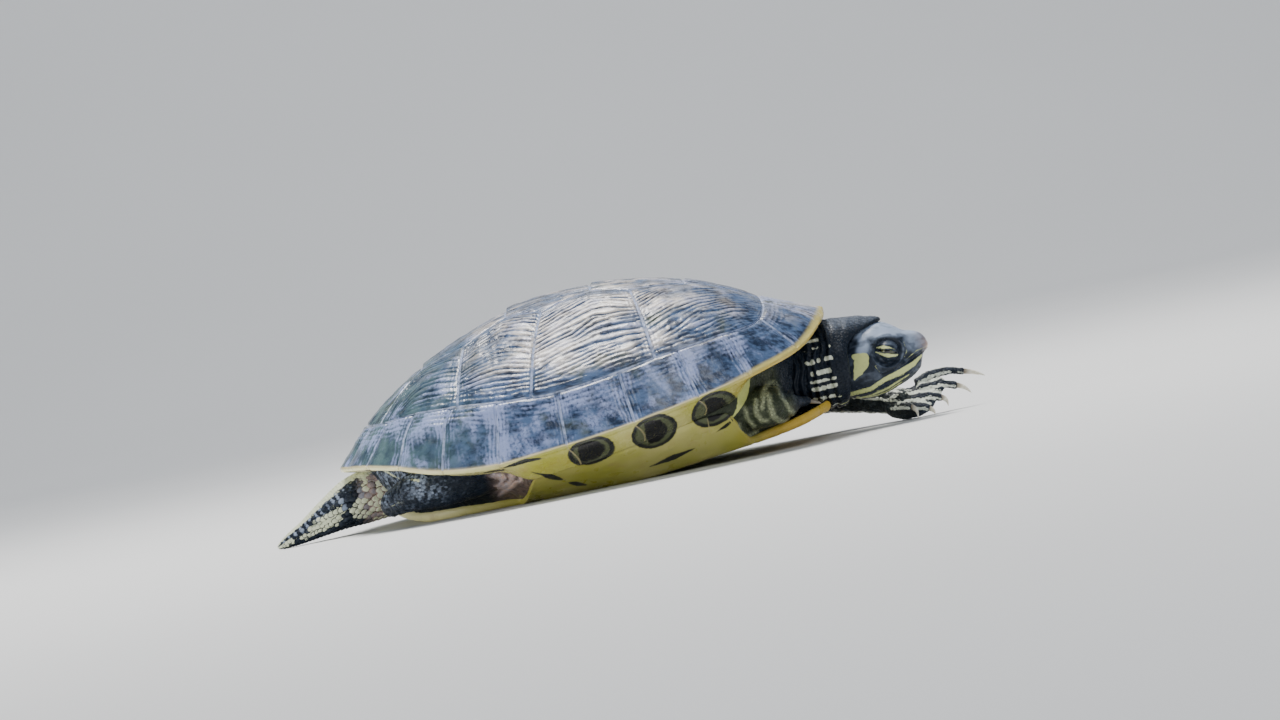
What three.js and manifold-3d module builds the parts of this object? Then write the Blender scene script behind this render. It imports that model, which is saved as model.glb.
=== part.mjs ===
// A yellow-bellied slider turtle at rest, life size, as a still model.
// Millimetres. +X is the way the turtle faces, +Y its left side, +Z up, and the floor is z = 0.
// The shell lies on its belly, the neck is half drawn in under a loose skin hood, the left
// foreleg reaches forward beside the head, and the other three legs are folded into the shell.
import * as THREE from "three";
import { mergeVertices } from "three/addons/utils/BufferGeometryUtils.js";
import Module from "manifold-3d";

const wasm = await Module();
wasm.setup();

// ---------- driving dimensions ----------
const GAP = 0.35; // parting cut between neighbouring solids
const SHELL_FRONT = 80.4; // front tip of the carapace
const SHELL_REAR = -109.5; // rear tip of the carapace
const WIDEST_X = -22; // where the carapace is widest
const HALF_WIDTH = 72; // half the carapace width there
const ROUNDNESS = 2.3; // exponent of the outline's superellipse
const SHOULDER = 0.9; // share of the half width at which the dome turns down to the rim
const SHOULDER_DROP = 0.615; // share of its height that the dome has lost by there
const SIDE_POWER = 2.4; // exponent of the dome's cross-section at the bridge
const END_POWER = 2.2; // and at its front and rear ends
const FRONT_END = [38, 68]; // the cross-section changes from one to the other between these x
const REAR_END = [72, 100]; // and these, counted rearwards
const MARGINAL_SHARE = 0.91; // share of the way out to the rim at which the marginals begin
const MARGINAL_FRONT = 0.135; // how much less that is at the very front
const MARGINAL_REAR = 0.055; // and over the tail
const NOTCH = 0.012; // how far the rear rim is drawn in at a marginal seam, as a share
const SEAM_DEPTH = 0.9; // depth of the grooves between scutes
const SEAM_HALF = 1.5; // half width of those grooves
const SCUTE_SPAN = 20; // a groove's share of its scute is worked out for this size at most
const SCUTE_SWELL = 0.15; // scutes stand this far above the dome
const RIM_SHARE = 0.985; // beyond this share of the way out there is no groove
const RIM_EDGE = 1.6; // thickness of the carapace at its very edge
const LIP = 3.2; // thickness of the overhanging lip over the leg openings
const LIP_BRIDGE = 9; // drop of the lip's underside where it meets the bridge
const INNER_SCALE = 0.9; // inner wall of the carapace against its outline, in plan
const PLASTRON_THICK = 3; // thickness of the plastron
const BELLY_HALF = 40; // half width of the flat of the belly
const SHELL_THICK = 4.5; // thickness of the dome under its scutes
const BRIDGE_SHARE = 0.892; // share of the carapace outline that the bridges reach out to
const BRIDGE_CURVE = 1.35; // exponent of the bridge's rise from the belly to the lip
const PLASTRON_EDGE = 0.55; // thickness of the plastron's edge as a share
const BRIDGE_REAR = [-50, -36]; // the bridge begins between these x
const BRIDGE_FRONT = [38, 50]; // and ends between these
const INNER_RINGS = [0.85, 0.45]; // shares of the way out of the rings inside the dome
const FLESH_FRONT = 58; // the flesh leaves the plastron behind this x at the front opening
const FLESH_REAR = -84; // and ahead of this x at the rear opening
const EYE_RADIUS = 4.1;
const EYE_AT = [100.9, 8.3, 27.8]; // centre of the left eye
const MOUTH_AT = [105, 0, 22.1]; // the mouth line passes here
const MOUTH_DOWN = [0.27, 0, -0.96]; // at right angles to the mouth line, downwards
const JAW_HINGE = 96; // x of the corner of the mouth
const FLESH_ROOM = 1.3; // clearance of the hidden flesh inside the shell
const LIMB_POINTS = 10; // points round a limb
const DIGIT_POINTS = 6; // points round a digit
const DIGIT_TAPER = 0.3; // how much a digit narrows towards its claw
const HEAD_POINTS = 16;
const NECK_POINTS = 18;
const TRUNK_POINTS = 32;
const HEAD_POWER = 2.3; // squareness of the head's section
const HEAD_WIDEST = 0.46; // share of its height at which the head is widest
const CLAW_POINTS = 6;
const CLAW_TAPER = 0.75; // how much a claw narrows towards its tip
const CLAW_KNEE = 0.45; // share of a claw's length after which it bends down

// Carapace midline seen from the side: x and height, rear to front.
const MIDLINE = [
  [-109.5, 25.6], [-94, 42], [-75, 55], [-51, 66.4], [-31, 72.6], [-13, 74.6],
  [9, 73.8], [31, 69.9], [49, 62.9], [60, 56.6], [80.4, 48.8],
];
// Height of the rim at even steps of 15 degrees, from the front tip round to the rear tip.
const RIM_HEIGHTS = [48.2, 44.4, 37.4, 32.6, 28, 23.6, 19.4, 17.2, 18.8, 23.2, 25.4, 25.7, 25.5];
// Directions at which the seams between marginal scutes meet the rim, front to rear.
const MARGINAL_SEAMS = [
  2.4, 16.5, 32, 50.5, 64.4, 78.7, 90.3, 104.5, 119.7, 134.3, 149, 163.9, 180,
];
// Directions at which the costal seams meet the marginals, and the corners beside vertebrals 1 and 5.
const COSTAL_FOOT = [70, 95.5, 117];
const FRONT_CORNER = 12.5;
const REAR_CORNER = 154;
// Edge of the vertebral row, front to rear: seam ends between vertebrals and the costal corners.
const VERTEBRAL_EDGE = [[31, 21], [10.4, 28], [-4, 22], [-23.3, 31], [-37, 21], [-54, 28], [-72, 15]];

// Stations along the plastron, and shares of its half width, at which it has points.
const PLASTRON_STATIONS = [
  -93, -91, -87, -80, -64, -46, -41, -37, -31, -12, 8, 24, 34, 38, 42, 47, 58, 68, 73, 76,
];
const PLASTRON_SHARES = [-1, -0.86, -0.72, -0.57, -0.3, 0, 0.3, 0.57, 0.72, 0.86, 1];
// Half width of the plastron's lobes at x.
const LOBE_HALF = [
  [-93, 12], [-88, 24], [-78, 34], [-62, 39.5], [-46, 40], [47, 38], [58, 34], [68, 27.5], [76, 13],
];
// Height of the belly along its middle: flat, with both lobes turned up.
const BELLY_LINE = [
  [-93, 5.2], [-88, 2.6], [-80, 0.2], [-70, 0], [0, 0], [10, 0.6], [36, 3.8], [58, 6.4], [76, 10.6],
];
// Side view and half width of the head at x, back to front.
const HEAD_TOP = [
  [80, 34], [86, 37.6], [92, 39.6], [97, 40], [101.8, 39], [105.7, 37], [109.6, 34.7],
  [113.6, 32.8], [116, 30.6], [117.2, 28],
];
const HEAD_BASE = [
  [80, 15], [86, 12.4], [91, 11.2], [97.3, 11.8], [104.4, 14.2], [109, 16.2], [112, 18.6],
  [114.2, 22.4], [116, 25], [117.2, 27.2],
];
const HEAD_HALF = [
  [80, 11.5], [86, 12.8], [92, 13.6], [97, 13.2], [101.8, 11.9], [105.7, 10.3], [109.6, 8.5],
  [113.6, 6.4], [116, 4.4], [117.2, 1.2],
];
const HEAD_STATIONS = [80, 86, 90, 94, 97.5, 101, 104.5, 108, 111, 113.4, 115.4, 116.6, 117.2];
// Rings of the neck: x at the side, reach of the top edge beyond it, half width, top, base.
const NECK_RINGS = [
  [54, 0, 20, 43.5, 11], [66, 0, 18.8, 43.2, 10.6], [70, 0, 17, 42.6, 11], [73.5, 0, 18.2, 43.4, 10.4],
  [76.5, 0, 16.8, 43, 11], [79, 0.4, 17.6, 44.2, 10.2], [82.5, 3, 17.6, 44.4, 10],
  [85.4, 8.6, 17.2, 43.6, 10.6], [87.2, 13.4, 15.8, 42.2, 11.6],
];
// The tail: x, y, z, half width and half height of each station.
const TAIL_PATH = [
  [-84, 0, 14.5, 9.5, 9.5], [-97, -1, 14, 10, 10.2], [-107, -2.5, 12.4, 8.8, 9.6],
  [-116, -4.5, 9.4, 6.2, 7.2], [-126, -6.5, 5.4, 3.6, 4.5], [-133, -8, 3, 2.2, 2.8],
  [-137.4, -9, 1.3, 0.9, 1.4],
];

// Digits side by side: roots along a row, each with the same run to its tip, for a folded foot.
function digitRow({ first, step, count, run, claw }) {
  return Array.from({ length: count }, (_, i) => {
    const root = first.map((v, k) => v + step[k] * i);
    const end = root.map((v, k) => v + run[k]);
    const middle = root.map((v, k) => v + run[k] * 0.5);
    return { points: [root, middle, end], tip: end.map((v, k) => v + claw[k]) };
  });
}

// Each limb: its path from the trunk, its palm, the cut at its wrist or ankle, and its digits.
const REACHING_FORELEG = {
  name: "foreleg_left",
  foot: "forefoot_left",
  path: [[46, 40, 19, 9, 9], [66, 38, 17.5, 9, 8.4], [86, 28, 12.5, 7, 6.4], [104, 17, 7.4, 5.6, 5.2]],
  palm: [
    [100, 18.6, 7.8, 5.4, 5], [105, 15.8, 6.2, 7.4, 4], [109.5, 15, 6.6, 7.6, 2.8],
    [115, 17.2, 9.4, 5.8, 1.6], [121, 18.6, 11.6, 3.4, 1],
  ],
  cut: [[103, 17.6, 8.2], [0.83, -0.51, -0.21]],
  digits: [
    { points: [[111, 19, 13], [117, 21, 15], [124, 22.2, 15.2], [130, 22.5, 13.8]], tip: [138, 22.5, 10.5] },
    { points: [[111.5, 17, 10.6], [120, 18.5, 10.8], [126, 19, 9.2]], tip: [131.1, 18.5, 5.2] },
    { points: [[109.5, 14, 7.4], [115, 14.6, 7.2], [119.4, 14.2, 5.8]], tip: [121, 13.2, 2.2] },
    { points: [[108, 11.4, 4.6], [111.4, 10.8, 3.8], [113.6, 10.4, 2.9]], tip: [115.2, 9, 0.2] },
    { points: [[103.6, 11.4, 5.4], [105.6, 8.8, 5.2], [107.2, 7.4, 4.6]], tip: [108.4, 5.8, 0.2] },
  ],
  style: { wide: 2.2, tall: 1.8, lean: [0, -0.72, 0.69], claw: 1.1 },
};
const FOLDED_FORELEG = {
  name: "foreleg_right",
  foot: "forefoot_right",
  path: [[42, -36, 18, 9, 8.6], [51, -41, 17.4, 8.5, 8], [57, -35, 16.6, 6.4, 6], [60, -28.5, 16.2, 5, 4.2]],
  palm: [[58, -31, 16.4, 4.8, 3.8], [62, -26.4, 16.4, 5.6, 2.6], [66, -23.6, 16, 5, 2]],
  cut: [[59, -30, 16.4], [0.65, 0.75, -0.05]],
  digits: digitRow({
    first: [64.6, -27.4, 16], step: [0.1, 2.1, 0], count: 5, run: [4, 0.1, -0.6], claw: [3.4, 0.2, -1.4],
  }),
  style: { wide: 1.1, tall: 1.2, lean: [0, 0, 1], claw: 0.8 },
};
const foldedHindleg = (name, foot, side) => {
  const turned = (stations) => stations.map(([x, y, ...rest]) => [x, side * y, ...rest]);
  return {
    name,
    foot,
    path: turned([
      [-44, 40, 15, 7.5, 8], [-56, 47, 14.5, 6.5, 8.4], [-70, 49.5, 13.4, 6, 8.4], [-82, 46, 12.6, 5.2, 7.2],
    ]),
    palm: turned([[-79, 47, 12.6, 5, 7.2], [-87, 42, 11, 4.2, 6], [-92, 37, 9.4, 3, 4.8]]),
    cut: [[-81.4, side * 46, 12.6], [-0.86, -0.48 * side, -0.1]],
    digits: digitRow({
      first: [-91, side * 38, 5.8], step: [0, 0, 2.4], count: 4, run: [-1, -5.6 * side, 0],
      claw: [0.3, -3.6 * side, -1.7],
    }),
    style: { wide: 1.1, tall: 1.3, lean: [0, 0, 1], claw: 0.8 },
  };
};
const LIMBS = [
  REACHING_FORELEG,
  FOLDED_FORELEG,
  foldedHindleg("hindleg_left", "hindfoot_left", 1),
  foldedHindleg("hindleg_right", "hindfoot_right", -1),
];

// ---------- small helpers ----------
const rad = THREE.MathUtils.degToRad;
const clamp = THREE.MathUtils.clamp;
const lerp = THREE.MathUtils.lerp;
const smooth = THREE.MathUtils.smoothstep;
const signedPower = (v, p) => Math.sign(v) * Math.abs(v) ** p;

// Smooth curve through [x, value] pairs (Catmull-Rom slopes on uneven steps).
function along(pairs, x) {
  const last = pairs.length - 1;
  const slope = (i) => {
    const [a, b] = [pairs[Math.max(i - 1, 0)], pairs[Math.min(i + 1, last)]];
    return (b[1] - a[1]) / (b[0] - a[0]);
  };
  const at = clamp(x, pairs[0][0], pairs[last][0]);
  let i = 0;
  while (i < last - 1 && at > pairs[i + 1][0]) i += 1;
  const [x0, y0] = pairs[i];
  const [x1, y1] = pairs[i + 1];
  const step = x1 - x0;
  const t = (at - x0) / step;
  const [m0, m1] = [slope(i) * step, slope(i + 1) * step];
  const t2 = t * t;
  const t3 = t2 * t;
  return (2 * t3 - 3 * t2 + 1) * y0 + (t3 - 2 * t2 + t) * m0 + (3 * t2 - 2 * t3) * y1 + (t3 - t2) * m1;
}

// A closed triangle mesh from a list of triangles of Vector3 as a manifold solid.
function solidFromTriangles(triangles) {
  const made = solidFromGeometry(new THREE.BufferGeometry().setFromPoints(triangles.flat()));
  if (made.volume() > 0) return made;
  const turned = triangles.map(([a, b, c]) => [a, c, b]);
  return solidFromGeometry(new THREE.BufferGeometry().setFromPoints(turned.flat()));
}

function solidFromGeometry(source) {
  const geometry = source.index ? source.toNonIndexed() : source.clone();
  const bare = new THREE.BufferGeometry().setAttribute("position", geometry.getAttribute("position"));
  const merged = mergeVertices(bare, 1e-3);
  const index = merged.index.array;
  const kept = [];
  for (let i = 0; i < index.length; i += 3) {
    const [a, b, c] = [index[i], index[i + 1], index[i + 2]];
    if (a !== b && b !== c && a !== c) kept.push(a, b, c);
  }
  const vertProperties = merged.attributes.position.array;
  const triVerts = new Uint32Array(kept);
  return new wasm.Manifold(new wasm.Mesh({ numProp: 3, vertProperties, triVerts }));
}

// Triangles between two rings of the same length, ring b lying further along or inward.
function band(a, b) {
  const faces = [];
  a.forEach((point, i) => {
    const j = (i + 1) % a.length;
    faces.push([point, a[j], b[j]], [point, b[j], b[i]]);
  });
  return faces;
}

function fan(ring, hub) {
  return ring.map((point, i) => [point, ring[(i + 1) % ring.length], hub]);
}

// ---------- carapace surface ----------
// The rim is a superellipse about (WIDEST_X, 0). A direction of 0 is the front, 180 the rear.
function rimPoint(direction, share = 1) {
  const angle = rad(direction);
  const reach = Math.cos(angle) > 0 ? SHELL_FRONT - WIDEST_X : WIDEST_X - SHELL_REAR;
  const x = WIDEST_X + share * reach * signedPower(Math.cos(angle), 2 / ROUNDNESS);
  return [x, share * HALF_WIDTH * signedPower(Math.sin(angle), 2 / ROUNDNESS)];
}

// Direction (degrees, 0 to 180) and share of the way out to the rim of a point in plan.
function shellPlace(x, y) {
  const reach = x > WIDEST_X ? SHELL_FRONT - WIDEST_X : WIDEST_X - SHELL_REAR;
  const u = Math.abs(x - WIDEST_X) / reach;
  const v = Math.abs(y) / HALF_WIDTH;
  const share = (u ** ROUNDNESS + v ** ROUNDNESS) ** (1 / ROUNDNESS);
  const quarter = (Math.atan2(v ** (ROUNDNESS / 2), u ** (ROUNDNESS / 2)) * 180) / Math.PI;
  return { share, direction: x > WIDEST_X ? quarter : 180 - quarter };
}

function rimHeight(direction) {
  const pairs = RIM_HEIGHTS.map((height, i) => [i * 15, height]);
  return along(pairs, Math.abs(direction));
}

// Height of the dome at a point in plan.
function domeHeight(x, y) {
  const { share, direction } = shellPlace(x, y);
  const rim = rimHeight(direction);
  if (share >= 1) return rim;
  const reach = x > WIDEST_X ? SHELL_FRONT - WIDEST_X : WIDEST_X - SHELL_REAR;
  const halfWidth = HALF_WIDTH * (1 - (Math.abs(x - WIDEST_X) / reach) ** ROUNDNESS) ** (1 / ROUNDNESS);
  const n = clamp(Math.abs(y) / halfWidth, 0, 1);
  const shoulder = 1 - SHOULDER_DROP * (Math.min(n / SHOULDER, 1)) ** SIDE_POWER;
  const side = n < SHOULDER ? shoulder : (shoulder * (1 - n)) / (1 - SHOULDER);
  const end = 1 - n ** END_POWER;
  const endShare = Math.max(smooth(x, ...FRONT_END), smooth(-x, ...REAR_END));
  return rim + (along(MIDLINE, x) - rim) * lerp(side, end, endShare);
}

// A point of the dome, raised by a height along the surface's normal.
function onDome([x, y], height = 0) {
  const { share } = shellPlace(x, y);
  const shrink = share > 0.97 ? 0.97 / share : 1;
  const [gx, gy] = [WIDEST_X + (x - WIDEST_X) * shrink, y * shrink];
  const d = 0.5;
  const slopeX = (domeHeight(gx + d, gy) - domeHeight(gx - d, gy)) / (2 * d);
  const slopeY = (domeHeight(gx, gy + d) - domeHeight(gx, gy - d)) / (2 * d);
  const normal = new THREE.Vector3(-slopeX, -slopeY, 1).normalize();
  return new THREE.Vector3(x, y, domeHeight(x, y)).addScaledVector(normal, height);
}

// Share of the rim at which the marginal scutes end and the costals begin.
function marginalShare(direction) {
  const c = Math.cos(rad(direction));
  return MARGINAL_SHARE - (c > 0 ? MARGINAL_FRONT * c ** 8 : MARGINAL_REAR * smooth(-c, 0, 0.5));
}

// Slight saw-tooth of the rear rim: it is drawn in at each marginal seam.
function rimShare(direction) {
  const near = Math.min(...MARGINAL_SEAMS.map((seam) => Math.abs(Math.abs(direction) - seam)));
  return 1 - NOTCH * smooth(Math.abs(direction), 100, 140) * (1 - smooth(near, 0, 4));
}

// ---------- scutes ----------
// Every seam is divided the same way for both scutes that share it, so the carapace closes.
function straight(a, b, parts) {
  return Array.from({ length: parts }, (_, i) => [
    lerp(a[0], b[0], i / parts), lerp(a[1], b[1], i / parts),
  ]);
}

// Corners on the ring between marginals and the rest, by direction, on one side.
const RING_STOPS = [...MARGINAL_SEAMS, ...COSTAL_FOOT, FRONT_CORNER, REAR_CORNER, 0].sort((a, b) => a - b);
const ringPoint = (direction) => rimPoint(direction, marginalShare(direction));

// Points along that ring from one stop to another, the last left out.
function ringPath(from, to) {
  const stops = RING_STOPS.filter((stop) => stop > Math.min(from, to) && stop < Math.max(from, to));
  const ordered = [from, ...(from < to ? stops : stops.reverse()), to];
  return ordered.slice(0, -1).flatMap((start, i) => {
    const end = ordered[i + 1];
    const parts = Math.abs(end - start) > 8 ? 2 : 1;
    return Array.from({ length: parts }, (_, k) => ringPoint(lerp(start, end, k / parts)));
  });
}

function rimPath(from, to, parts) {
  return Array.from({ length: parts }, (_, k) => {
    const direction = lerp(from, to, k / parts);
    return rimPoint(direction, rimShare(direction));
  });
}

const rimCorner = (direction) => rimPoint(direction, rimShare(direction));

// Outlines on the left side (y > 0), anticlockwise seen from above.
function leftCostals() {
  const edge = [ringPoint(FRONT_CORNER), ...VERTEBRAL_EDGE, ringPoint(REAR_CORNER)];
  const feet = [FRONT_CORNER, ...COSTAL_FOOT, REAR_CORNER];
  const tops = [0, 2, 4, 6, 8]; // which point of the edge begins each costal
  return feet.slice(0, -1).map((foot, i) => {
    const outline = [...ringPath(foot, feet[i + 1])];
    const last = tops[i + 1];
    if (last < 8) outline.push(...straight(ringPoint(feet[i + 1]), edge[last], 4));
    for (let k = last; k > tops[i]; k -= 1) outline.push(...straight(edge[k], edge[k - 1], 2));
    if (i > 0) outline.push(...straight(edge[tops[i]], ringPoint(foot), 4));
    return outline;
  });
}

function vertebrals() {
  const flip = ([x, y]) => [x, -y];
  const seams = [0, 2, 4, 6].map((i) => VERTEBRAL_EDGE[i]);
  const crossing = (p) => straight(p, flip(p), 4);
  const down = (points) => points.slice(0, -1).flatMap((p, i) => straight(p, points[i + 1], 2));
  // The first lies against the front ring, the fifth against the rear ring.
  const front = ringPoint(FRONT_CORNER);
  const frontRing = [...ringPath(0, FRONT_CORNER)];
  const frontMirror = [...ringPath(FRONT_CORNER, 0)].map(flip);
  const first = [...frontRing, ...down([front, seams[0]]), ...crossing(seams[0]),
    ...down([flip(seams[0]), flip(front)]), ...frontMirror];
  const middle = [1, 2, 3].map((i) => {
    const [a, b] = [seams[i - 1], seams[i]];
    const corner = VERTEBRAL_EDGE[2 * i - 1];
    return [...down([a, corner, b]), ...crossing(b), ...down([flip(b), flip(corner), flip(a)]),
      ...crossing(flip(a))];
  });
  const rear = ringPoint(REAR_CORNER);
  const fifth = [...down([seams[3], rear]), ...ringPath(REAR_CORNER, 180),
    ...ringPath(180, REAR_CORNER).map(flip), ...down([flip(rear), flip(seams[3])]),
    ...crossing(flip(seams[3]))];
  return [first, ...middle, fifth];
}

function leftMarginals() {
  return MARGINAL_SEAMS.slice(0, -1).map((from, i) => {
    const to = MARGINAL_SEAMS[i + 1];
    return [...rimPath(from, to, 3), ...straight(rimCorner(to), ringPoint(to), 2),
      ...ringPath(to, from), ...straight(ringPoint(from), rimCorner(from), 2)];
  });
}

function nuchal() {
  const side = MARGINAL_SEAMS[0];
  const flip = ([x, y]) => [x, -y];
  return [...rimPath(-side, side, 2), ...straight(rimCorner(side), ringPoint(side), 2),
    ...ringPath(side, 0), ...ringPath(0, side).map(flip),
    ...straight(flip(ringPoint(side)), flip(rimCorner(side)), 2)];
}

const mirrored = (outline) => outline.map(([x, y]) => [x, -y]).reverse();

// One scute: a groove at its outline, then rings that follow the dome up to a hub.
function scuteFaces(outline, hub, rings) {
  const shrink = (share) => outline.map(([x, y]) => [lerp(x, hub[0], share), lerp(y, hub[1], share)]);
  const size = Math.max(...outline.map(([x, y]) => Math.hypot(x - hub[0], y - hub[1])));
  const first = SEAM_HALF / Math.min(size, SCUTE_SPAN);
  const base = outline.map((p) => onDome(p, shellPlace(...p).share > RIM_SHARE ? 0 : -SEAM_DEPTH));
  const faces = [];
  let lower = base;
  rings.forEach((share) => {
    const upper = shrink(Math.max(share, first)).map((p) => onDome(p, SCUTE_SWELL));
    faces.push(...band(lower, upper));
    lower = upper;
  });
  faces.push(...fan(lower, onDome(hub, 2 * SCUTE_SWELL)));
  return faces;
}

const centre = (outline) => {
  const sum = outline.reduce(([sx, sy], [x, y]) => [sx + x, sy + y], [0, 0]);
  return [sum[0] / outline.length, sum[1] / outline.length];
};

// Underside of the lip: it drops towards the bridge between the leg openings.
const bridgeWeight = (x) => smooth(x, ...BRIDGE_REAR) * (1 - smooth(x, ...BRIDGE_FRONT));
const lipDrop = (x) => lerp(LIP, LIP_BRIDGE, bridgeWeight(x));

// Directions round the rim at which every ring below the scutes has a point.
const HALF_ROUND = [0, ...MARGINAL_SEAMS.slice(0, -1).flatMap((from, i) => (
  [0, 1, 2].map((k) => lerp(from, MARGINAL_SEAMS[i + 1], k / 3))
)), 180];
const ROUND = [...HALF_ROUND, ...HALF_ROUND.slice(1, -1).reverse().map((d) => -d)];

// A ring at a share of the way out to the rim; the height is a function of direction and place.
const shellRing = (share, height) => ROUND.map((d) => {
  const [x, y] = rimPoint(d, share * rimShare(d));
  return new THREE.Vector3(x, y, height(d, x, y));
});

// The rim's edge, the lip below it and the inner wall; grow > 0 gives room to a neighbour.
function shellUnderside(grow) {
  const wall = INNER_RINGS.map((share) => shellRing(
    share * INNER_SCALE, (d) => domeHeight(...rimPoint(d, share)) - SHELL_THICK - grow,
  ));
  return [
    shellRing(0.997, (d) => rimHeight(d) - RIM_EDGE - grow),
    shellRing(INNER_SCALE - grow / HALF_WIDTH, (d, x) => rimHeight(d) - lipDrop(x) - grow),
    ...wall,
  ];
}

const innerHub = (grow) => new THREE.Vector3(WIDEST_X, 0, domeHeight(WIDEST_X, 0) - SHELL_THICK - grow);

function undersideFaces(rim, grow) {
  const rings = [rim, ...shellUnderside(grow)];
  const faces = rings.slice(0, -1).flatMap((ring, i) => band(rings[i + 1], ring));
  return [...faces, ...fan([...rings.at(-1)].reverse(), innerHub(grow))];
}

function carapaceSolid() {
  const left = [...leftCostals(), ...leftMarginals()];
  const faces = undersideFaces(shellRing(1, (d, x, y) => domeHeight(x, y)), 0);
  [...left, ...left.map(mirrored)].forEach((outline) => {
    const inland = outline.every(([x, y]) => shellPlace(x, y).share < RIM_SHARE);
    faces.push(...scuteFaces(outline, centre(outline), inland ? [0, 0.36, 0.68] : [0]));
  });
  [...vertebrals(), nuchal()].forEach((outline) => {
    faces.push(...scuteFaces(outline, centre(outline), [0, 0.5]));
  });
  return solidFromTriangles(faces);
}

// The carapace without scutes, grown by a gap: what its neighbours are cut with.
function carapaceRoom(grow) {
  const rim = shellRing(1.004, (d) => rimHeight(d) + grow);
  const rings = [rim, ...[0.93, 0.75, 0.4].map((share) => (
    shellRing(share, (d) => domeHeight(...rimPoint(d, share)) + grow)
  ))];
  const faces = undersideFaces(rim, grow);
  rings.slice(0, -1).forEach((ring, i) => faces.push(...band(ring, rings[i + 1])));
  faces.push(...fan(rings.at(-1), new THREE.Vector3(WIDEST_X, 0, domeHeight(WIDEST_X, 0) + grow)));
  return solidFromTriangles(faces);
}

// ---------- plastron and bridges ----------
// Half width of the carapace outline at x.
function outlineHalf(x) {
  const reach = x > WIDEST_X ? SHELL_FRONT - WIDEST_X : WIDEST_X - SHELL_REAR;
  return HALF_WIDTH * Math.max(1 - (Math.abs(x - WIDEST_X) / reach) ** ROUNDNESS, 0) ** (1 / ROUNDNESS);
}

// Half width of the plastron at x: the rear lobe, the bridges and the front lobe.
function plastronHalf(x) {
  const lobe = along(LOBE_HALF, x);
  const reach = x > WIDEST_X ? SHELL_FRONT - WIDEST_X : WIDEST_X - SHELL_REAR;
  const u = Math.abs(x - WIDEST_X) / (reach * BRIDGE_SHARE);
  const bridge = BRIDGE_SHARE * HALF_WIDTH * Math.max(1 - u ** ROUNDNESS, 0) ** (1 / ROUNDNESS);
  const weight = smooth(x, -45, -36) * (1 - smooth(x, 36, 47));
  return lerp(lobe, Math.max(lobe, bridge), weight);
}

// Height of the underside of the plastron and bridge at a point in plan.
function bellyHeight(x, y) {
  const flat = Math.max(along(BELLY_LINE, x), 0);
  const half = plastronHalf(x);
  const beyond = Math.abs(y) - BELLY_HALF;
  if (beyond <= 0) return flat;
  const width = BRIDGE_SHARE * outlineHalf(x) - BELLY_HALF;
  const { direction } = shellPlace(x, half / BRIDGE_SHARE);
  const top = rimHeight(direction) - LIP_BRIDGE - 0.5;
  return flat + (top - flat) * Math.min(beyond / width, 1) ** BRIDGE_CURVE;
}

const plastronTop = (x, y) => bellyHeight(x, y) + PLASTRON_THICK;

function plastronSolid(grow) {
  const rings = PLASTRON_STATIONS.map((x) => {
    const half = plastronHalf(x);
    const end = x === PLASTRON_STATIONS[0] ? -grow : x === PLASTRON_STATIONS.at(-1) ? grow : 0;
    const side = (s, z) => new THREE.Vector3(x + end, s * (half + grow), z);
    const below = PLASTRON_SHARES.map((s) => side(s, bellyHeight(x, s * half) - grow));
    const above = PLASTRON_SHARES.map((s) => {
      const edge = Math.abs(s) === 1 ? PLASTRON_EDGE : 1;
      return side(s, bellyHeight(x, s * half) + PLASTRON_THICK * edge + grow);
    });
    return [...below, ...above.reverse()];
  });
  return loftSolid(rings);
}

// ---------- lofts for the soft parts ----------
const middleOf = (ring) => (
  ring.reduce((sum, point) => sum.add(point), new THREE.Vector3()).divideScalar(ring.length)
);

function loftSolid(rings) {
  const faces = rings.slice(0, -1).flatMap((ring, i) => band(ring, rings[i + 1]));
  faces.push(...fan([...rings[0]].reverse(), middleOf(rings[0])));
  faces.push(...fan(rings.at(-1), middleOf(rings.at(-1))));
  return solidFromTriangles(faces);
}

// One section across a part: centre, half width, height above and below the centre.
function section(at, sideways, upwards, { half, above, below, power = 2, count }) {
  return Array.from({ length: count }, (_, i) => {
    const angle = (2 * Math.PI * i) / count;
    const across = half * signedPower(Math.cos(angle), 2 / power);
    const up = (Math.sin(angle) > 0 ? above : below) * signedPower(Math.sin(angle), 2 / power);
    return at.clone().addScaledVector(sideways, across).addScaledVector(upwards, up);
  });
}

// A limb through stations [x, y, z, half width, half height]; lean is its upward direction.
function limbSolid(stations, { lean = [0, 0, 1], steps = 7, round = true, count = LIMB_POINTS } = {}) {
  const path = new THREE.CatmullRomCurve3(stations.map((s) => new THREE.Vector3(...s.slice(0, 3))));
  const sizeAt = (t, k) => along(stations.map((s, i) => [i / (stations.length - 1), s[k]]), t);
  const rings = Array.from({ length: steps + 1 }, (_, i) => {
    const t = i / steps;
    const forward = path.getTangent(t);
    const sideways = new THREE.Vector3().crossVectors(forward, new THREE.Vector3(...lean)).normalize();
    const upwards = new THREE.Vector3().crossVectors(sideways, forward);
    const tall = sizeAt(t, 4);
    const shape = { half: sizeAt(t, 3), above: tall, below: tall, count };
    return section(path.getPoint(t), sideways, upwards, shape);
  });
  if (round) {
    const hub = middleOf(rings.at(-1));
    const ahead = path.getTangent(1).multiplyScalar(stations.at(-1)[4] * 0.6);
    rings.push(rings.at(-1).map((p) => p.clone().lerp(hub, 0.4).add(ahead)));
  }
  return loftSolid(rings);
}

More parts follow.
